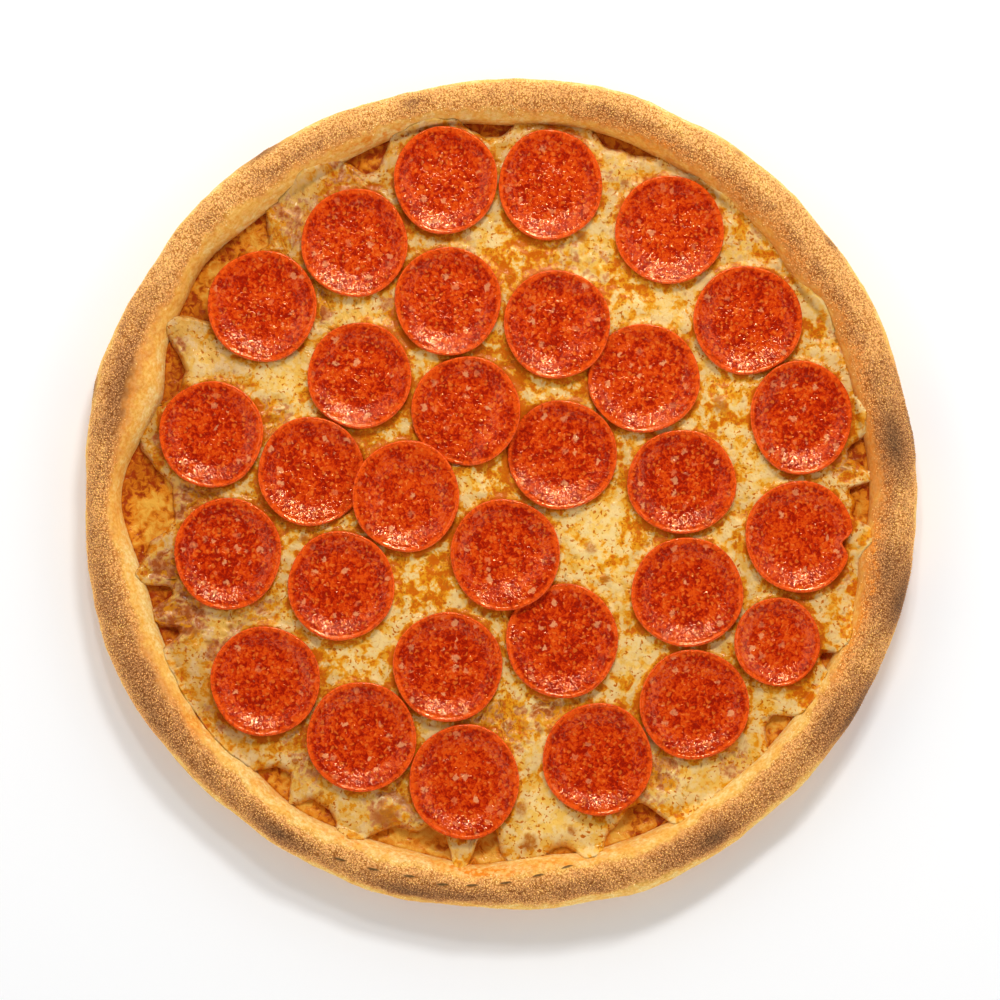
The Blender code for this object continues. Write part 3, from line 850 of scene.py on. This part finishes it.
def make_pepperoni_material():
    shader = Shader("pepperoni")
    share, tone = shader.mask("share"), shader.mask("tone")
    bent = shader.warped(1.6, 0.7)
    mottle = shader.noise(1.6, detail=3.0, rough=0.66, place=bent)
    broad = shader.noise(6.0, detail=2.0, rough=0.6)
    value = shader.plus(mottle, shader.ramp(broad, 0.3, 0.7, -0.10, 0.10))
    value = shader.plus(value, tone)
    colour = shader.mix(shader.ramp(value, 0.36, 0.50), PEPPERONI_DARK, PEPPERONI_RED)
    colour = shader.mix(shader.ramp(value, 0.50, 0.66), colour, PEPPERONI_ORANGE)
    inner = shader.ramp(share, 0.97, 0.91)
    small = shader.cells(1.9, place=bent)
    speck = shader.ramp(small.outputs["Distance"], 0.42, 0.16)
    speck = shader.times(speck, shader.chosen(small, 0.34))
    speck = shader.times(speck, shader.times(inner, 0.55))
    colour = shader.mix(speck, colour, PEPPERONI_SPECK)
    large = shader.cells(4.2, place=shader.warped(2.2, 0.8))
    parts = shader.node("ShaderNodeSeparateColor", {"Color": large.outputs["Color"]})
    reach = shader.ramp(parts.outputs["Green"], 0.0, 1.0, 0.04, 0.34)
    reach = shader.plus(reach, shader.ramp(mottle, 0.3, 0.7, -0.12, 0.12))
    fleck = shader.ramp(shader.math("SUBTRACT", reach, large.outputs["Distance"]), -0.05, 0.14)
    fleck = shader.times(fleck, shader.times(shader.chosen(large, 0.30), inner))
    clear = shader.ramp(parts.outputs["Blue"], 0.0, 1.0, 0.20, 0.75)
    colour = shader.mix(shader.times(fleck, clear), colour, PEPPERONI_FAT)
    # A darker band just inside the ring, all round the slice.
    inner_band = shader.times(shader.ramp(share, 0.66, 0.82), inner)
    colour = shader.tinted(colour, shader.mix(inner_band, WHITE, PEPPERONI_INNER_BAND))
    wavy = shader.plus(share, shader.ramp(broad, 0.3, 0.7, -0.015, 0.015))
    ring = shader.ramp(wavy, 0.880, 0.950)
    reddened = shader.times(ring, shader.ramp(mottle, 0.3, 0.7, 0.30, 0.85))
    colour = shader.mix(reddened, colour, PEPPERONI_RING)
    domes = shader.ramp(small.outputs["Distance"], 0.7, 0.0)
    waves = shader.noise(1.3, detail=1.0, rough=0.5, warp=0.6)
    lumps = shader.plus(shader.times(domes, 0.4), shader.times(waves, 2.6))
    lumps = shader.times(lumps, shader.ramp(ring, 0.0, 1.0, 1.0, 0.4))
    normal = shader.bump(lumps, 0.10, 1.0)
    rough = shader.ramp(waves, 0.35, 0.65, 0.05, 0.13)
    return shader.finish(colour, rough, normal, 0.20, 0.03, specular=0.62, tint=PEPPERONI_SHINE)


def make_slice(number, material):
    x_middle, y_middle, half_width, half_height = SLICE_FRAMES[number - 1]
    edge_shares, edge_levels = zip(*SLICE_EDGE)
    shares = np.concatenate((SLICE_TOP_SHARES, edge_shares, SLICE_UNDER_SHARES))
    levels = np.concatenate((
        np.ones(len(SLICE_TOP_SHARES)), edge_levels, np.zeros(len(SLICE_UNDER_SHARES))))
    angle = np.arange(SLICE_TURN_STEPS) * 360.0 / SLICE_TURN_STEPS
    angle, share = np.meshgrid(angle, shares)
    level = np.repeat(levels[:, None], SLICE_TURN_STEPS, axis=1)
    turn = np.radians(angle)
    reach = share * slice_wobble(number, share, angle)
    x = x_middle + reach * half_width * np.cos(turn)
    y = y_middle + reach * half_height * np.sin(turn)
    rise = slice_rise(number, np.minimum(share, 1.0), angle)
    rough = 0.14 * layered(x, y, 2.2, 61) + 0.18 * layered(x, y, 6.0, 63)
    rough *= level * (1.0 - 0.6 * smooth_step(0.9, 0.97, share))
    bead_share, bead_width, bead_height = SLICE_BEAD
    bead = bead_height * np.exp(-((share - bead_share) / bead_width) ** 2) * level
    height = SLICE_BASE + level * SLICE_THICKNESS + rise + rough + bead
    top = [x_middle, y_middle, SLICE_BASE + SLICE_THICKNESS]
    points = np.concatenate((vertices(x, y, height), [top, [x_middle, y_middle, SLICE_BASE]]))
    seed = np.array([float(number)])
    tone = (lattice(seed, seed, 71)[0] - 0.5) * 0.06
    masks = {"share": np.append(share.ravel(), (0.0, 0.0)), "tone": np.full(len(points), tone)}
    faces = ring_faces(SLICE_TURN_STEPS, len(shares))
    node = "pepperoni_{:02d}".format(number)
    return make_piece("slice_{:02d}".format(number), points, faces, material, [node], masks)


# Cheese

CHEESE_IVORY = (0.90, 0.64, 0.25)
CHEESE_CREAM = (0.90, 0.53, 0.095)
CHEESE_GOLD = (0.84, 0.335, 0.010)
CHEESE_ORANGE = (0.64, 0.13, 0.002)
CHEESE_OLIVE = (0.46, 0.20, 0.010)
CHEESE_PINK = (0.66, 0.24, 0.07)
CHEESE_STAINED = (0.44, 0.085, 0.006)
CHEESE_BROWN = (0.46, 0.13, 0.012)
CHEESE_CORE = (0.50, 0.10, 0.003)
CHEESE_OUTER_TINT = (0.78, 0.72, 0.84)
CHEESE_SHINE = (1.0, 0.75, 0.35)

# Thickness of the cheese at its open edge, and its foot's radius as a share of the top's
CHEESE_EDGE = 0.5
CHEESE_FOOT_SHARE = 0.995
# Gap between the cheese and the slices that lie over it
SLICE_CLEARANCE = 0.15

# Pockets at the cheese's edge, where the dough and the sauce lie open: middle, half-width, radius
POCKETS = (
    (0, 1.8, 135), (6.3, 2.2, 134.5), (70.5, 5.5, 140.5), (73, 2.0, 139.5), (91.5, 3.8, 138),
    (111.5, 3.6, 135), (134.5, 4.0, 131.5), (141.5, 4.0, 127), (148.0, 3.2, 129),
    (160.5, 5.0, 131), (182, 9.0, 126.5), (196.2, 2.0, 133.5), (203, 1.8, 136),
    (232, 3.5, 136.5), (240, 3.5, 138), (254, 4.8, 135), (259, 3.2, 131), (268, 2.9, 127),
    (279.4, 3.0, 139.2), (288.8, 2.6, 136.5), (293, 4.0, 131), (319.5, 3.4, 136),
    (332.4, 1.4, 139.3), (357.2, 2.6, 135.5),
)
# Places where the cheese climbs the rim: angle, reach in millimetres, half-width
CLIMBS = (
    (31, 1.6, 4), (54, 1.2, 4), (101, 2.0, 4), (121, 3.0, 4), (153.5, 1.2, 1.2), (210, 1.2, 5),
    (222, 1.6, 4), (246.5, 2.4, 1.6), (263.4, 1.6, 1.2), (283.8, 2.6, 1.6), (299, 1.6, 4),
    (327, 1.6, 4), (337, 2.2, 3), (12, 1.8, 2.0), (193, 1.6, 1.5), (352.5, 2.4, 2.0),
)
# Oily orange places in the cheese: x, y, radius and strength
OILY = (
    (-45, 22, 28, 1.0), (-28, -28, 22, 0.95), (0, 42, 24, 0.9), (-30, 100, 18, 0.6), (10, 92, 22, 0.8),
    (-8, -48, 18, 0.8), (40, 15, 18, 0.7), (85, 34, 14, 0.6), (52, -20, 18, 0.6), (-84, -10, 18, 0.7),
    (-88, 38, 14, 0.7), (-35, -78, 12, 0.6), (60, -60, 18, 0.5), (48, 78, 16, 0.7), (-72, -60, 14, 0.5),
    (95, -15, 12, 0.7), (0, 5, 16, 0.7), (-45, 60, 14, 0.7), (-62, 122, 10, 0.6), (35, 40, 14, 0.8),
    (100, 40, 8, 0.6), (-80, -95, 10, 0.5),
)
# Smooth pale places in the cheese: x, y, radius and strength
SMOOTH = (
    (17, -121, 13, 1.0), (30, -131, 9, 1.0), (-85, 43, 10, 0.9), (-117, 48, 7, 0.8), (40, -12, 9, 0.7),
    (52, -32, 8, 0.5), (85, 64, 8, 0.5), (118, 72, 8, 0.6), (88, -30, 7, 0.5), (-62, 22, 6, 0.4),
    (42, 64, 10, 0.5), (20, -100, 7, 0.6), (-10, 118, 6, 0.4), (127, -42, 7, 0.5), (56, -92, 7, 0.5),
    (94, -4, 8, 0.6), (48, 128, 8, 0.6), (-108, -50, 5, 0.5), (-24, -92, 6, 0.4), (-4, 62, 6, 0.4),
    (-75, 88, 7, 0.5), (133, 40, 6, 0.6), (-22, 44, 5, 0.4), (92, 92, 6, 0.4), (40, -82, 6, 0.5),
)
# Thin cheese with sauce showing through: x, y, radius and strength
THIN_CHEESE = (
    (-126, 36, 7, 0.8), (-118, -5, 12, 0.9), (-124, -48, 14, 0.9), (-128, -30, 9, 0.9), (-130, 20, 6, 0.8),
    (-82, 104, 12, 0.7), (-72, 72, 9, 0.9), (-88, 30, 8, 0.8), (0, -90, 14, 0.8), (18, -86, 8, 0.9),
    (-100, 78, 9, 0.7), (-128, 55, 8, 0.7), (-60, 122, 9, 0.7), (10, 122, 8, 0.5), (-108, -62, 8, 0.7),
    (-90, -45, 7, 0.6), (-86, 55, 5, 0.8), (-76, -96, 9, 0.6), (96, 96, 10, 0.4), (24, 92, 9, 0.6),
    (-30, 122, 7, 0.5), (-112, -90, 9, 0.5), (56, -120, 8, 0.5), (90, -105, 8, 0.5), (122, -80, 7, 0.4),
    (-42, -122, 12, 0.7), (-72, -105, 10, 0.6), (62, -108, 9, 0.8), (128, -30, 10, 0.6), (133, 12, 9, 0.7),
    (-40, 72, 9, 0.6), (-18, 95, 8, 0.5), (40, 88, 10, 0.4), (-100, -48, 10, 0.5), (48, 122, 10, 0.4),
    (130, 60, 8, 0.3), (-12, -88, 8, 0.6), (-68, 110, 8, 0.5),
)
# Browned blisters in the cheese: x, y, radius and height
BLISTERS = (
    (-44.5, -124.0, 6.5, 1.4), (10.5, -134.5, 5.0, 1.3), (84.5, 34.0, 4.6, 1.2), (34.5, -22.0, 3.6, 0.8),
    (40.0, -33.5, 3.0, 0.7), (-114, -40, 3.4, 0.6), (-118, -54, 2.6, 0.5), (-104, -52, 2.0, 0.4),
    (27, -130, 3.0, 0.5), (106, -88, 3.0, 0.5), (60, 60, 2.4, 0.4), (-76, -18, 2.6, 0.5),
    (8, -122, 4.0, 0.8), (48, 120, 2.4, 0.4), (20, -92, 2.6, 0.5),
)
# Small brown or red spots: x, y, radius and strength
SPOTS = (
    (-124, -49.5, 1.2, 1.0), (-121, -54.5, 1.6, 1.0), (-112, -58.5, 1.4, 0.8), (-119, -41, 1.2, 0.9),
    (55.5, -107.5, 2.2, 1.0), (60, -110, 1.3, 0.8), (-37.5, -119, 2.0, 0.9), (104, -92, 1.4, 0.7),
    (31, 98.5, 2.4, 1.0), (26, 102, 1.5, 0.8), (-84, -90, 1.5, 0.8), (-79, -104, 1.8, 0.7),
    (-69, -116, 1.3, 0.9), (-100, -62, 1.0, 0.7), (-104, 88, 1.2, 0.7), (121, 4, 1.4, 0.8),
    (-16, -124, 1.4, 0.8), (-54, 112, 1.2, 0.6), (47, 54, 1.2, 0.5), (15, -92, 1.6, 0.8),
    (-2, -97, 1.4, 0.7), (66, 60, 1.0, 0.5),
)


def cheese_surface(x, y):
    """Height that the melted cheese adds to its mean top, as in the solid."""
    waves = np.sin(x / 9.0 + 1.3) * np.sin(y / 11.0 + 0.4) + 0.5 * np.sin((x + y) / 17.0)
    added = CHEESE_RIPPLE * waves / 1.5
    for mound_x, mound_y, height, radius in CHEESE_MOUNDS:
        added = added + height * np.exp(-(np.hypot(x - mound_x, y - mound_y) / radius) ** 2)
    return added


def square_to_disc(count):
    """A square grid bent into a disc of radius 1 with even cells."""
    line = np.linspace(-1.0, 1.0, count)
    a, b = np.meshgrid(line, line)
    first = np.abs(a) > np.abs(b)
    radius = np.where(first, a, b)
    ratio = np.where(first, b / np.where(first, a, 1.0), a / np.where(np.abs(b) < 1e-12, 1.0, b))
    turn = np.where(first, ratio * math.pi / 4.0, math.pi / 2.0 - ratio * math.pi / 4.0)
    return radius * np.cos(turn), radius * np.sin(turn)


def make_cheese_material():
    shader = Shader("melted_cheese")
    names = ("oily", "thin", "brown", "pit", "outer")
    oily, thin, brown, pit, outer = (shader.mask(name) for name in names)
    soft = shader.noise(5.0, detail=2.0, rough=0.5, warp=0.2)
    mid = shader.noise(1.9, detail=3.0, rough=0.6, warp=0.15)
    tone = shader.plus(shader.times(soft, 0.6), shader.times(mid, 0.4))
    tone = shader.math("SUBTRACT", tone, shader.times(outer, 0.06))
    colour = shader.mix(shader.ramp(tone, 0.40, 0.60), CHEESE_CREAM, CHEESE_IVORY)
    showing = shader.plus(thin, shader.ramp(mid, 0.35, 0.65, -0.2, 0.2))
    showing = shader.plus(showing, shader.ramp(soft, 0.38, 0.62, -0.12, 0.12))
    colour = shader.mix(shader.ramp(showing, 0.22, 0.7, 0.0, 0.9), colour, CHEESE_PINK)
    colour = shader.mix(shader.ramp(showing, 0.66, 1.0, 0.0, 0.9), colour, CHEESE_STAINED)
    pooled = shader.plus(shader.ramp(mid, 0.35, 0.65, -0.20, 0.20), oily)
    pooled = shader.plus(pooled, shader.ramp(soft, 0.38, 0.62, 0.30, -0.30))
    colour = shader.mix(shader.ramp(pooled, 0.36, 0.66), colour, CHEESE_GOLD)
    colour = shader.mix(shader.ramp(pooled, 0.66, 1.02), colour, CHEESE_ORANGE)
    clusters = shader.noise(9.0, detail=1.0)
    fine = shader.noise(1.4, detail=1.0, rough=0.5, warp=0.3)
    fleck_share = shader.ramp(clusters, 0.44, 0.58, 0.15, 0.9)
    flecks = shader.times(shader.ramp(fine, 0.59, 0.66), fleck_share)
    colour = shader.mix(flecks, colour, CHEESE_GOLD)
    core_share = shader.ramp(clusters, 0.40, 0.56, 0.25, 0.9)
    cores = shader.times(shader.ramp(fine, 0.65, 0.72), core_share)
    colour = shader.mix(cores, colour, CHEESE_CORE)
    olive = shader.cells(2.8, place=shader.warped(1.4, 0.8))
    spot = shader.ramp(olive.outputs["Distance"], 0.22, 0.10)
    spot = shader.times(spot, shader.chosen(olive, 0.3))
    spot = shader.times(spot, shader.ramp(clusters, 0.42, 0.60, 0.1, 0.6))
    colour = shader.mix(spot, colour, CHEESE_OLIVE)
    colour = shader.mix(shader.times(pit, 0.75), colour, CHEESE_BROWN)
    browned = shader.times(brown, shader.ramp(mid, 0.3, 0.7, 1.0, 0.6))
    colour = shader.mix(browned, colour, CHEESE_BROWN)
    colour = shader.tinted(colour, shader.mix(outer, WHITE, CHEESE_OUTER_TINT))
    height = shader.plus(mid, shader.times(soft, 2.0))
    normal = shader.bump(height, 0.26, 0.8)
    rough = shader.ramp(soft, 0.3, 0.7, 0.28, 0.46)
    return shader.finish(colour, rough, normal, 0.15, 0.07, specular=0.35, tint=CHEESE_SHINE)


def rim_inside_height(angle, radius):
    """Height of the rim's inner slope, for what lies on it."""
    foot = foot_radius(angle)
    share = (radius - foot) / (CREST_SHARE * (outer_radius(angle) - foot))
    share = np.clip(share, 0.0, 1.0)
    risen = np.sqrt(1.0 - (1.0 - share) ** 2)
    return FLOOR_HEIGHT + (crest_height(angle) - FLOOR_HEIGHT) * risen


def slice_cap(x, y):
    """Highest that cheese may reach under the slices, and how close the nearest slice is."""
    cap = np.full_like(x, FREE)
    nearest = np.full_like(x, FREE)
    for number, (x_middle, y_middle, half_width, half_height) in enumerate(SLICE_FRAMES, 1):
        across, along = (x - x_middle) / half_width, (y - y_middle) / half_height
        share = np.hypot(across, along)
        near = share < 1.6
        angle = np.degrees(np.arctan2(along[near], across[near]))
        true_share = share[near] / slice_wobble(number, share[near], angle)
        under = SLICE_BASE + slice_rise(number, np.minimum(true_share, 1.0), angle)
        over = np.where(true_share < 1.03, under - SLICE_CLEARANCE, FREE)
        cap[near] = np.minimum(cap[near], over)
        reach = (true_share - 1.0) * 0.5 * (half_width + half_height)
        nearest[near] = np.minimum(nearest[near], reach)
    return cap, nearest


def cheese_edge(angle, fringe):
    """Radius of the cheese's edge, with its climbs up the rim and its pockets."""
    edge = foot_radius(angle) + 0.8 + swells(angle, CLIMBS) * (1.0 + 0.5 * fringe)
    for centre, half_width, radius in POCKETS:
        turned = np.abs(turn_between(angle, centre) + 0.7 * fringe) / half_width
        edge = edge + fade(0.25, 1.2, turned) * np.minimum(radius + 1.2 * fringe - edge, 0.0)
    return edge


class CheeseGrid:
    """The cheese's fine grid, with what its relief and its masks share."""

    def __init__(self):
        disc_x, disc_y = square_to_disc(CHEESE_GRID)
        self.angle = np.degrees(np.arctan2(disc_y, disc_x))
        self.foot = foot_radius(self.angle)
        fringe = 0.9 * layered(disc_x * CHEESE_RADIUS, disc_y * CHEESE_RADIUS, 7.0, 81)
        self.edge = cheese_edge(self.angle, fringe)
        self.inward = (1.0 - np.hypot(disc_x, disc_y)) * self.edge
        self.inside_rim = self.edge < self.foot + 0.3
        x, y = disc_x * self.edge, disc_y * self.edge
        self.x, self.y, self.radius = x, y, np.hypot(x, y)
        self.cap, self.nearest = slice_cap(x, y)
        self.thin = patches(x, y, THIN_CHEESE)
        self.smooth = patches(x + 1.5 * fringe, y - 1.5 * fringe, SMOOTH)
        self.lumps = layered(x, y, 6.5, 91)
        strand = 1.0 - np.abs(layered(x, y * 1.7 + 0.4 * x, 5.5, 95, octaves=2)) * 2.2
        self.strand = np.clip(strand, 0.0, 1.0) ** 2
        distance, number = cells(x, y, 7.0, 101)
        pit = (number > 0.55) * fade(0.3, 0.8, distance) * (1.0 - self.smooth)
        self.pit = np.maximum(pit, patches(x, y, SPOTS))


def cheese_height(sheet):
    """Height of the cheese with its lumps, strands, pits, blisters and ridges round the slices."""
    x, y, thin, nearest = sheet.x, sheet.y, sheet.thin, sheet.nearest
    height = CHEESE_TOP + cheese_surface(x, y)
    height = height + (0.8 + 0.3 * smooth_step(0.0, 4.0, nearest)) * (1.0 - 0.6 * thin)
    height = height + 0.8 * np.exp(-((nearest - 0.4) / 1.3) ** 2)
    fine = (0.18 + 0.25 * thin) * layered(x, y, 2.4, 93)
    height = height + (0.40 + 0.45 * thin) * sheet.lumps + fine * (1.0 - 0.7 * sheet.smooth)
    height = height + thin * (sheet.strand - 0.4) - 0.4 * sheet.pit
    for blister_x, blister_y, radius, rise in BLISTERS:
        apart = np.hypot(x - blister_x, y - blister_y) / radius
        height = height + rise * np.exp(-apart ** 2 * 1.6)
    return height


def cheese_top(sheet):
    """That height thinned towards its edge, raised up the rim as a film and kept below the slices."""
    thinning = np.where(sheet.inside_rim, smooth_step(-0.2, 3.0, sheet.inward), 1.0)
    edge_top = CHEESE_LOW + CHEESE_EDGE
    height = edge_top + (cheese_height(sheet) - edge_top) * np.sqrt(thinning)
    film = smooth_step(0.0, 1.6, sheet.inward)
    on_slope = rim_inside_height(sheet.angle, sheet.radius + 0.7 * film) + 0.25 * film - 0.05
    climbing = (sheet.radius > sheet.foot - 1.0) & (sheet.edge > sheet.foot + 1.0)
    height = np.where(climbing, np.maximum(height, on_slope), height)
    return np.minimum(height, sheet.cap)


def cheese_masks(sheet):
    """How oily, thin, browned, pitted and dull each vertex of the cheese is."""
    x, y, smooth = sheet.x, sheet.y, sheet.smooth
    halo = fade(0.2, 3.2, sheet.nearest + layered(x, y, 4.0, 111))
    broad = layered(x, y, 13.0, 113, octaves=2)
    oily = np.maximum(0.76 * patches(x, y, OILY), 0.27)
    oily = oily + 0.48 * halo - 0.12 * sheet.lumps + 0.30 * broad + 0.22 * smooth_step(90.0, 112.0, x)
    oily = oily * (1.0 - 0.75 * smooth) - 0.12 * smooth
    thin = sheet.thin * (1.0 - 0.9 * sheet.strand) * (1.0 - 0.8 * smooth)
    thin = np.maximum(thin, 0.45 * fade(0.3, 2.0, sheet.inward) * sheet.inside_rim)
    brown = np.zeros_like(x)
    ragged = 0.25 * layered(x, y, 2.0, 107)
    for blister_x, blister_y, radius, _ in BLISTERS:
        apart = np.hypot(x - blister_x, y - blister_y) / radius
        brown = np.maximum(brown, fade(0.35, 0.85, apart + ragged))
    north_west = smooth_step(-0.6, 0.9, np.cos(np.radians(sheet.angle - 165.0)))
    outer = smooth_step(85.0, 125.0, sheet.radius) * (0.15 + 0.85 * north_west) * (1.0 - 0.6 * smooth)
    return {"oily": oily, "thin": thin, "brown": brown, "pit": sheet.pit, "outer": outer}


def square_border(count):
    """Numbers of the vertices along a square grid's border, once round."""
    return np.concatenate((
        np.arange(count), np.arange(2, count + 1) * count - 1,
        np.arange(count * count - 2, count * (count - 1) - 1, -1),
        np.arange(count - 2, 0, -1) * count))


def make_cheese():
    sheet = CheeseGrid()
    top = vertices(sheet.x, sheet.y, cheese_top(sheet))
    border = square_border(CHEESE_GRID)
    ring = top[border] * (1.0, 1.0, 0.0) * CHEESE_FOOT_SHARE + (0.0, 0.0, CHEESE_LOW)
    points = np.concatenate((top, ring, [[0.0, 0.0, CHEESE_LOW]]))
    low_ring = len(top) + np.arange(len(border))
    faces = [
        grid_faces(CHEESE_GRID, CHEESE_GRID, closed=False),
        np.stack((np.roll(border, -1), border, low_ring, np.roll(low_ring, -1)), axis=-1),
        fan_faces(len(top), len(border), len(points) - 1, turned=True),
    ]
    below = np.zeros(len(border) + 1)
    masks = {key: np.concatenate((values.ravel(), below)) for key, values in cheese_masks(sheet).items()}
    return make_piece("cheese_melted", points, faces, make_cheese_material(), ["cheese"], masks)


# Grains on the crust

GRAIN_SEED = 11
GRAIN_SIDES = 4
GRAIN_WIDTHS = (0.20, 0.42)
GRAIN_HEIGHTS = (0.12, 0.34)
GRAIN_SHARE = 0.92
GRAIN_SHIFT = 0.45
GRAIN_SINK = 0.10
GRAIN_LOWEST = 0.05
# First row of the crust's section that has grains, and the room round a slit without any
GRAIN_FIRST_ROW = 16
SLIT_ROOM = (0.9, 2.6)


def make_grain_material():
    shader = Shader("semolina", dimensions="3D")
    bake_and_shade, char = shader.mask("bake_and_shade"), shader.mask("char")
    # The bake_and_shade mask brings the rim's painted shade and painted light onto the grains as well.
    tone = shader.plus(bake_and_shade, shader.ramp(shader.noise(1.0, detail=0.0), 0.3, 0.7, -0.25, 0.25))
    colour = shader.mix(shader.ramp(tone, 0.0, 0.5), CRUST_CREAM, CRUST_PALE)
    colour = shader.mix(shader.ramp(tone, 0.4, 1.1), colour, CRUST_GOLD)
    colour = shader.tinted(colour, CRUST_GRIT_LIGHT)
    colour = shader.mix(shader.times(char, 0.8), colour, CRUST_CHAR)
    normal = shader.bump(shader.noise(0.3, detail=1.0), 0.05, 0.5)
    return shader.finish(colour, 0.6, normal, specular=0.15)


def read_crust(mesh):
    """Places in millimetres, normals and masks of the crust's rings, one row to a ring."""
    def rings(values, name, width):
        found = np.zeros(len(mesh.vertices) * width, np.float32)
        values.foreach_get(name, found)
        return found.reshape(-1, width)[:-2].reshape(-1, RIM_TURN_STEPS, width)

    masks = {}
    for key in ("bake_and_shade", "char", "grain", "slit_across", "slit_along"):
        masks[key] = rings(mesh.attributes[key].data, "value", 1)[..., 0]
    return rings(mesh.vertices, "co", 3) / MM, rings(mesh.vertex_normals, "vector", 3), masks


def make_grains(crust):
    """Small pointed grains all over the browned part of the rim."""
    rng = np.random.default_rng(GRAIN_SEED)
    places, normals, masks = read_crust(crust.data)
    picked = rng.random(masks["grain"].shape) < GRAIN_SHARE * masks["grain"] ** 1.5
    picked[:GRAIN_FIRST_ROW, :] = False
    beside_slit = np.abs(masks["slit_across"]) > SLIT_ROOM[0]
    picked &= beside_slit | (np.abs(masks["slit_along"]) > SLIT_ROOM[1])
    centres, normal = places[picked], normals[picked]
    number = len(centres)
    side = np.cross(normal, rng.normal(size=(number, 3)))
    side /= np.linalg.norm(side, axis=1, keepdims=True)
    other = np.cross(normal, side)
    shift = rng.uniform(-GRAIN_SHIFT, GRAIN_SHIFT, (number, 2, 1))
    centres = centres + side * shift[:, 0] + other * shift[:, 1]
    width = rng.uniform(*GRAIN_WIDTHS, (number, 1, 1))
    turn = np.arange(GRAIN_SIDES) * 2.0 * math.pi / GRAIN_SIDES + rng.uniform(0.0, 1.0, (number, 1))
    spread = rng.uniform(0.75, 1.25, (number, GRAIN_SIDES, 1)) * width
    ring = side[:, None] * np.cos(turn)[..., None] + other[:, None] * np.sin(turn)[..., None]
    ring = centres[:, None] + ring * spread - normal[:, None] * GRAIN_SINK
    tip = centres + normal * rng.uniform(*GRAIN_HEIGHTS, (number, 1))
    points = np.concatenate((ring, tip[:, None]), axis=1).reshape(-1, 3)
    points[:, 2] = np.maximum(points[:, 2], GRAIN_LOWEST)
    size = GRAIN_SIDES + 1
    sides = fan_faces(0, GRAIN_SIDES, GRAIN_SIDES, turned=False)
    faces = [(sides[None] + (np.arange(number) * size)[:, None, None]).reshape(-1, 3)]
    masks = {key: np.repeat(masks[key][picked], size) for key in ("bake_and_shade", "char")}
    grains = make_piece("crust_grains", points, faces, make_grain_material(), [], masks)
    grains.data.shade_flat()


# Stage

def make_stage():
    bpy.ops.mesh.primitive_plane_add(size=GROUND_SIZE, location=(0.0, 0.0, -GROUND_DROP))
    floor = bpy.context.object
    floor.name = "floor"
    shader = Shader("white_floor")
    shader.surface.inputs["Base Color"].default_value = (0.98, 0.98, 0.98, 1.0)
    shader.surface.inputs["Roughness"].default_value = 1.0
    shader.surface.inputs["Specular IOR Level"].default_value = 0.0
    floor.data.materials.append(shader.material)


def make_light():
    """A white room with a dark ceiling, and lamps from the top of the picture."""
    world = bpy.data.worlds.new("studio")
    world.use_nodes = True
    tree = world.node_tree
    place = tree.nodes.new("ShaderNodeTexCoord").outputs["Generated"]
    height = tree.nodes.new("ShaderNodeSeparateXYZ")
    tree.links.new(place, height.inputs[0])
    overhead = tree.nodes.new("ShaderNodeMapRange")
    overhead.interpolation_type = "SMOOTHSTEP"
    limits = (*CEILING_SPAN, WALL_STRENGTH, CEILING_STRENGTH)
    for key, value in zip(("From Min", "From Max", "To Min", "To Max"), limits):
        overhead.inputs[key].default_value = value
    tree.links.new(height.outputs["Z"], overhead.inputs["Value"])
    tree.links.new(overhead.outputs["Result"], tree.nodes["Background"].inputs["Strength"])
    tree.nodes["Background"].inputs["Color"].default_value = (*WHITE, 1.0)
    bpy.context.scene.world = world
    for lamp in LAMPS:
        make_lamp(*lamp)


def make_lamp(name, width, height, power, turn, lift):
    """An area light that faces the pizza from the top of the picture, turned to a side."""
    lamp = bpy.data.lights.new(name, "AREA")
    lamp.shape = "RECTANGLE"
    lamp.size, lamp.size_y = width, height
    lamp.energy = power
    made = add_object(name, lamp)
    turn, lift = math.radians(turn), math.radians(lift)
    towards = Vector((math.sin(turn) * math.cos(lift), math.cos(turn) * math.cos(lift), math.sin(lift)))
    made.location = towards * LAMP_DISTANCE
    made.rotation_mode = "QUATERNION"
    made.rotation_quaternion = (-towards).to_track_quat("-Z", "Y")


def make_camera():
    camera = add_object("camera", bpy.data.cameras.new("camera"))
    camera.data.lens = CAMERA_LENS
    camera.data.sensor_width = CAMERA_SENSOR
    lift = math.radians(CAMERA_ELEVATION)
    back = Vector((0.0, -math.cos(lift), math.sin(lift)))
    camera.location = Vector(CAMERA_TARGET) + back * CAMERA_DISTANCE
    camera.rotation_mode = "QUATERNION"
    camera.rotation_quaternion = (-back).to_track_quat("-Z", "Y")
    camera.data.clip_start, camera.data.clip_end = CAMERA_CLIP
    bpy.context.scene.camera = camera


def main():
    bpy.context.scene.view_settings.view_transform = "Standard"
    crust = make_crust()
    make_grains(crust)
    make_sauce()
    make_cheese()
    pepperoni = make_pepperoni_material()
    for number in range(1, SLICE_COUNT + 1):
        make_slice(number, pepperoni)
    make_stage()
    make_light()
    make_camera()


main()
bpy.context.view_layer.update()
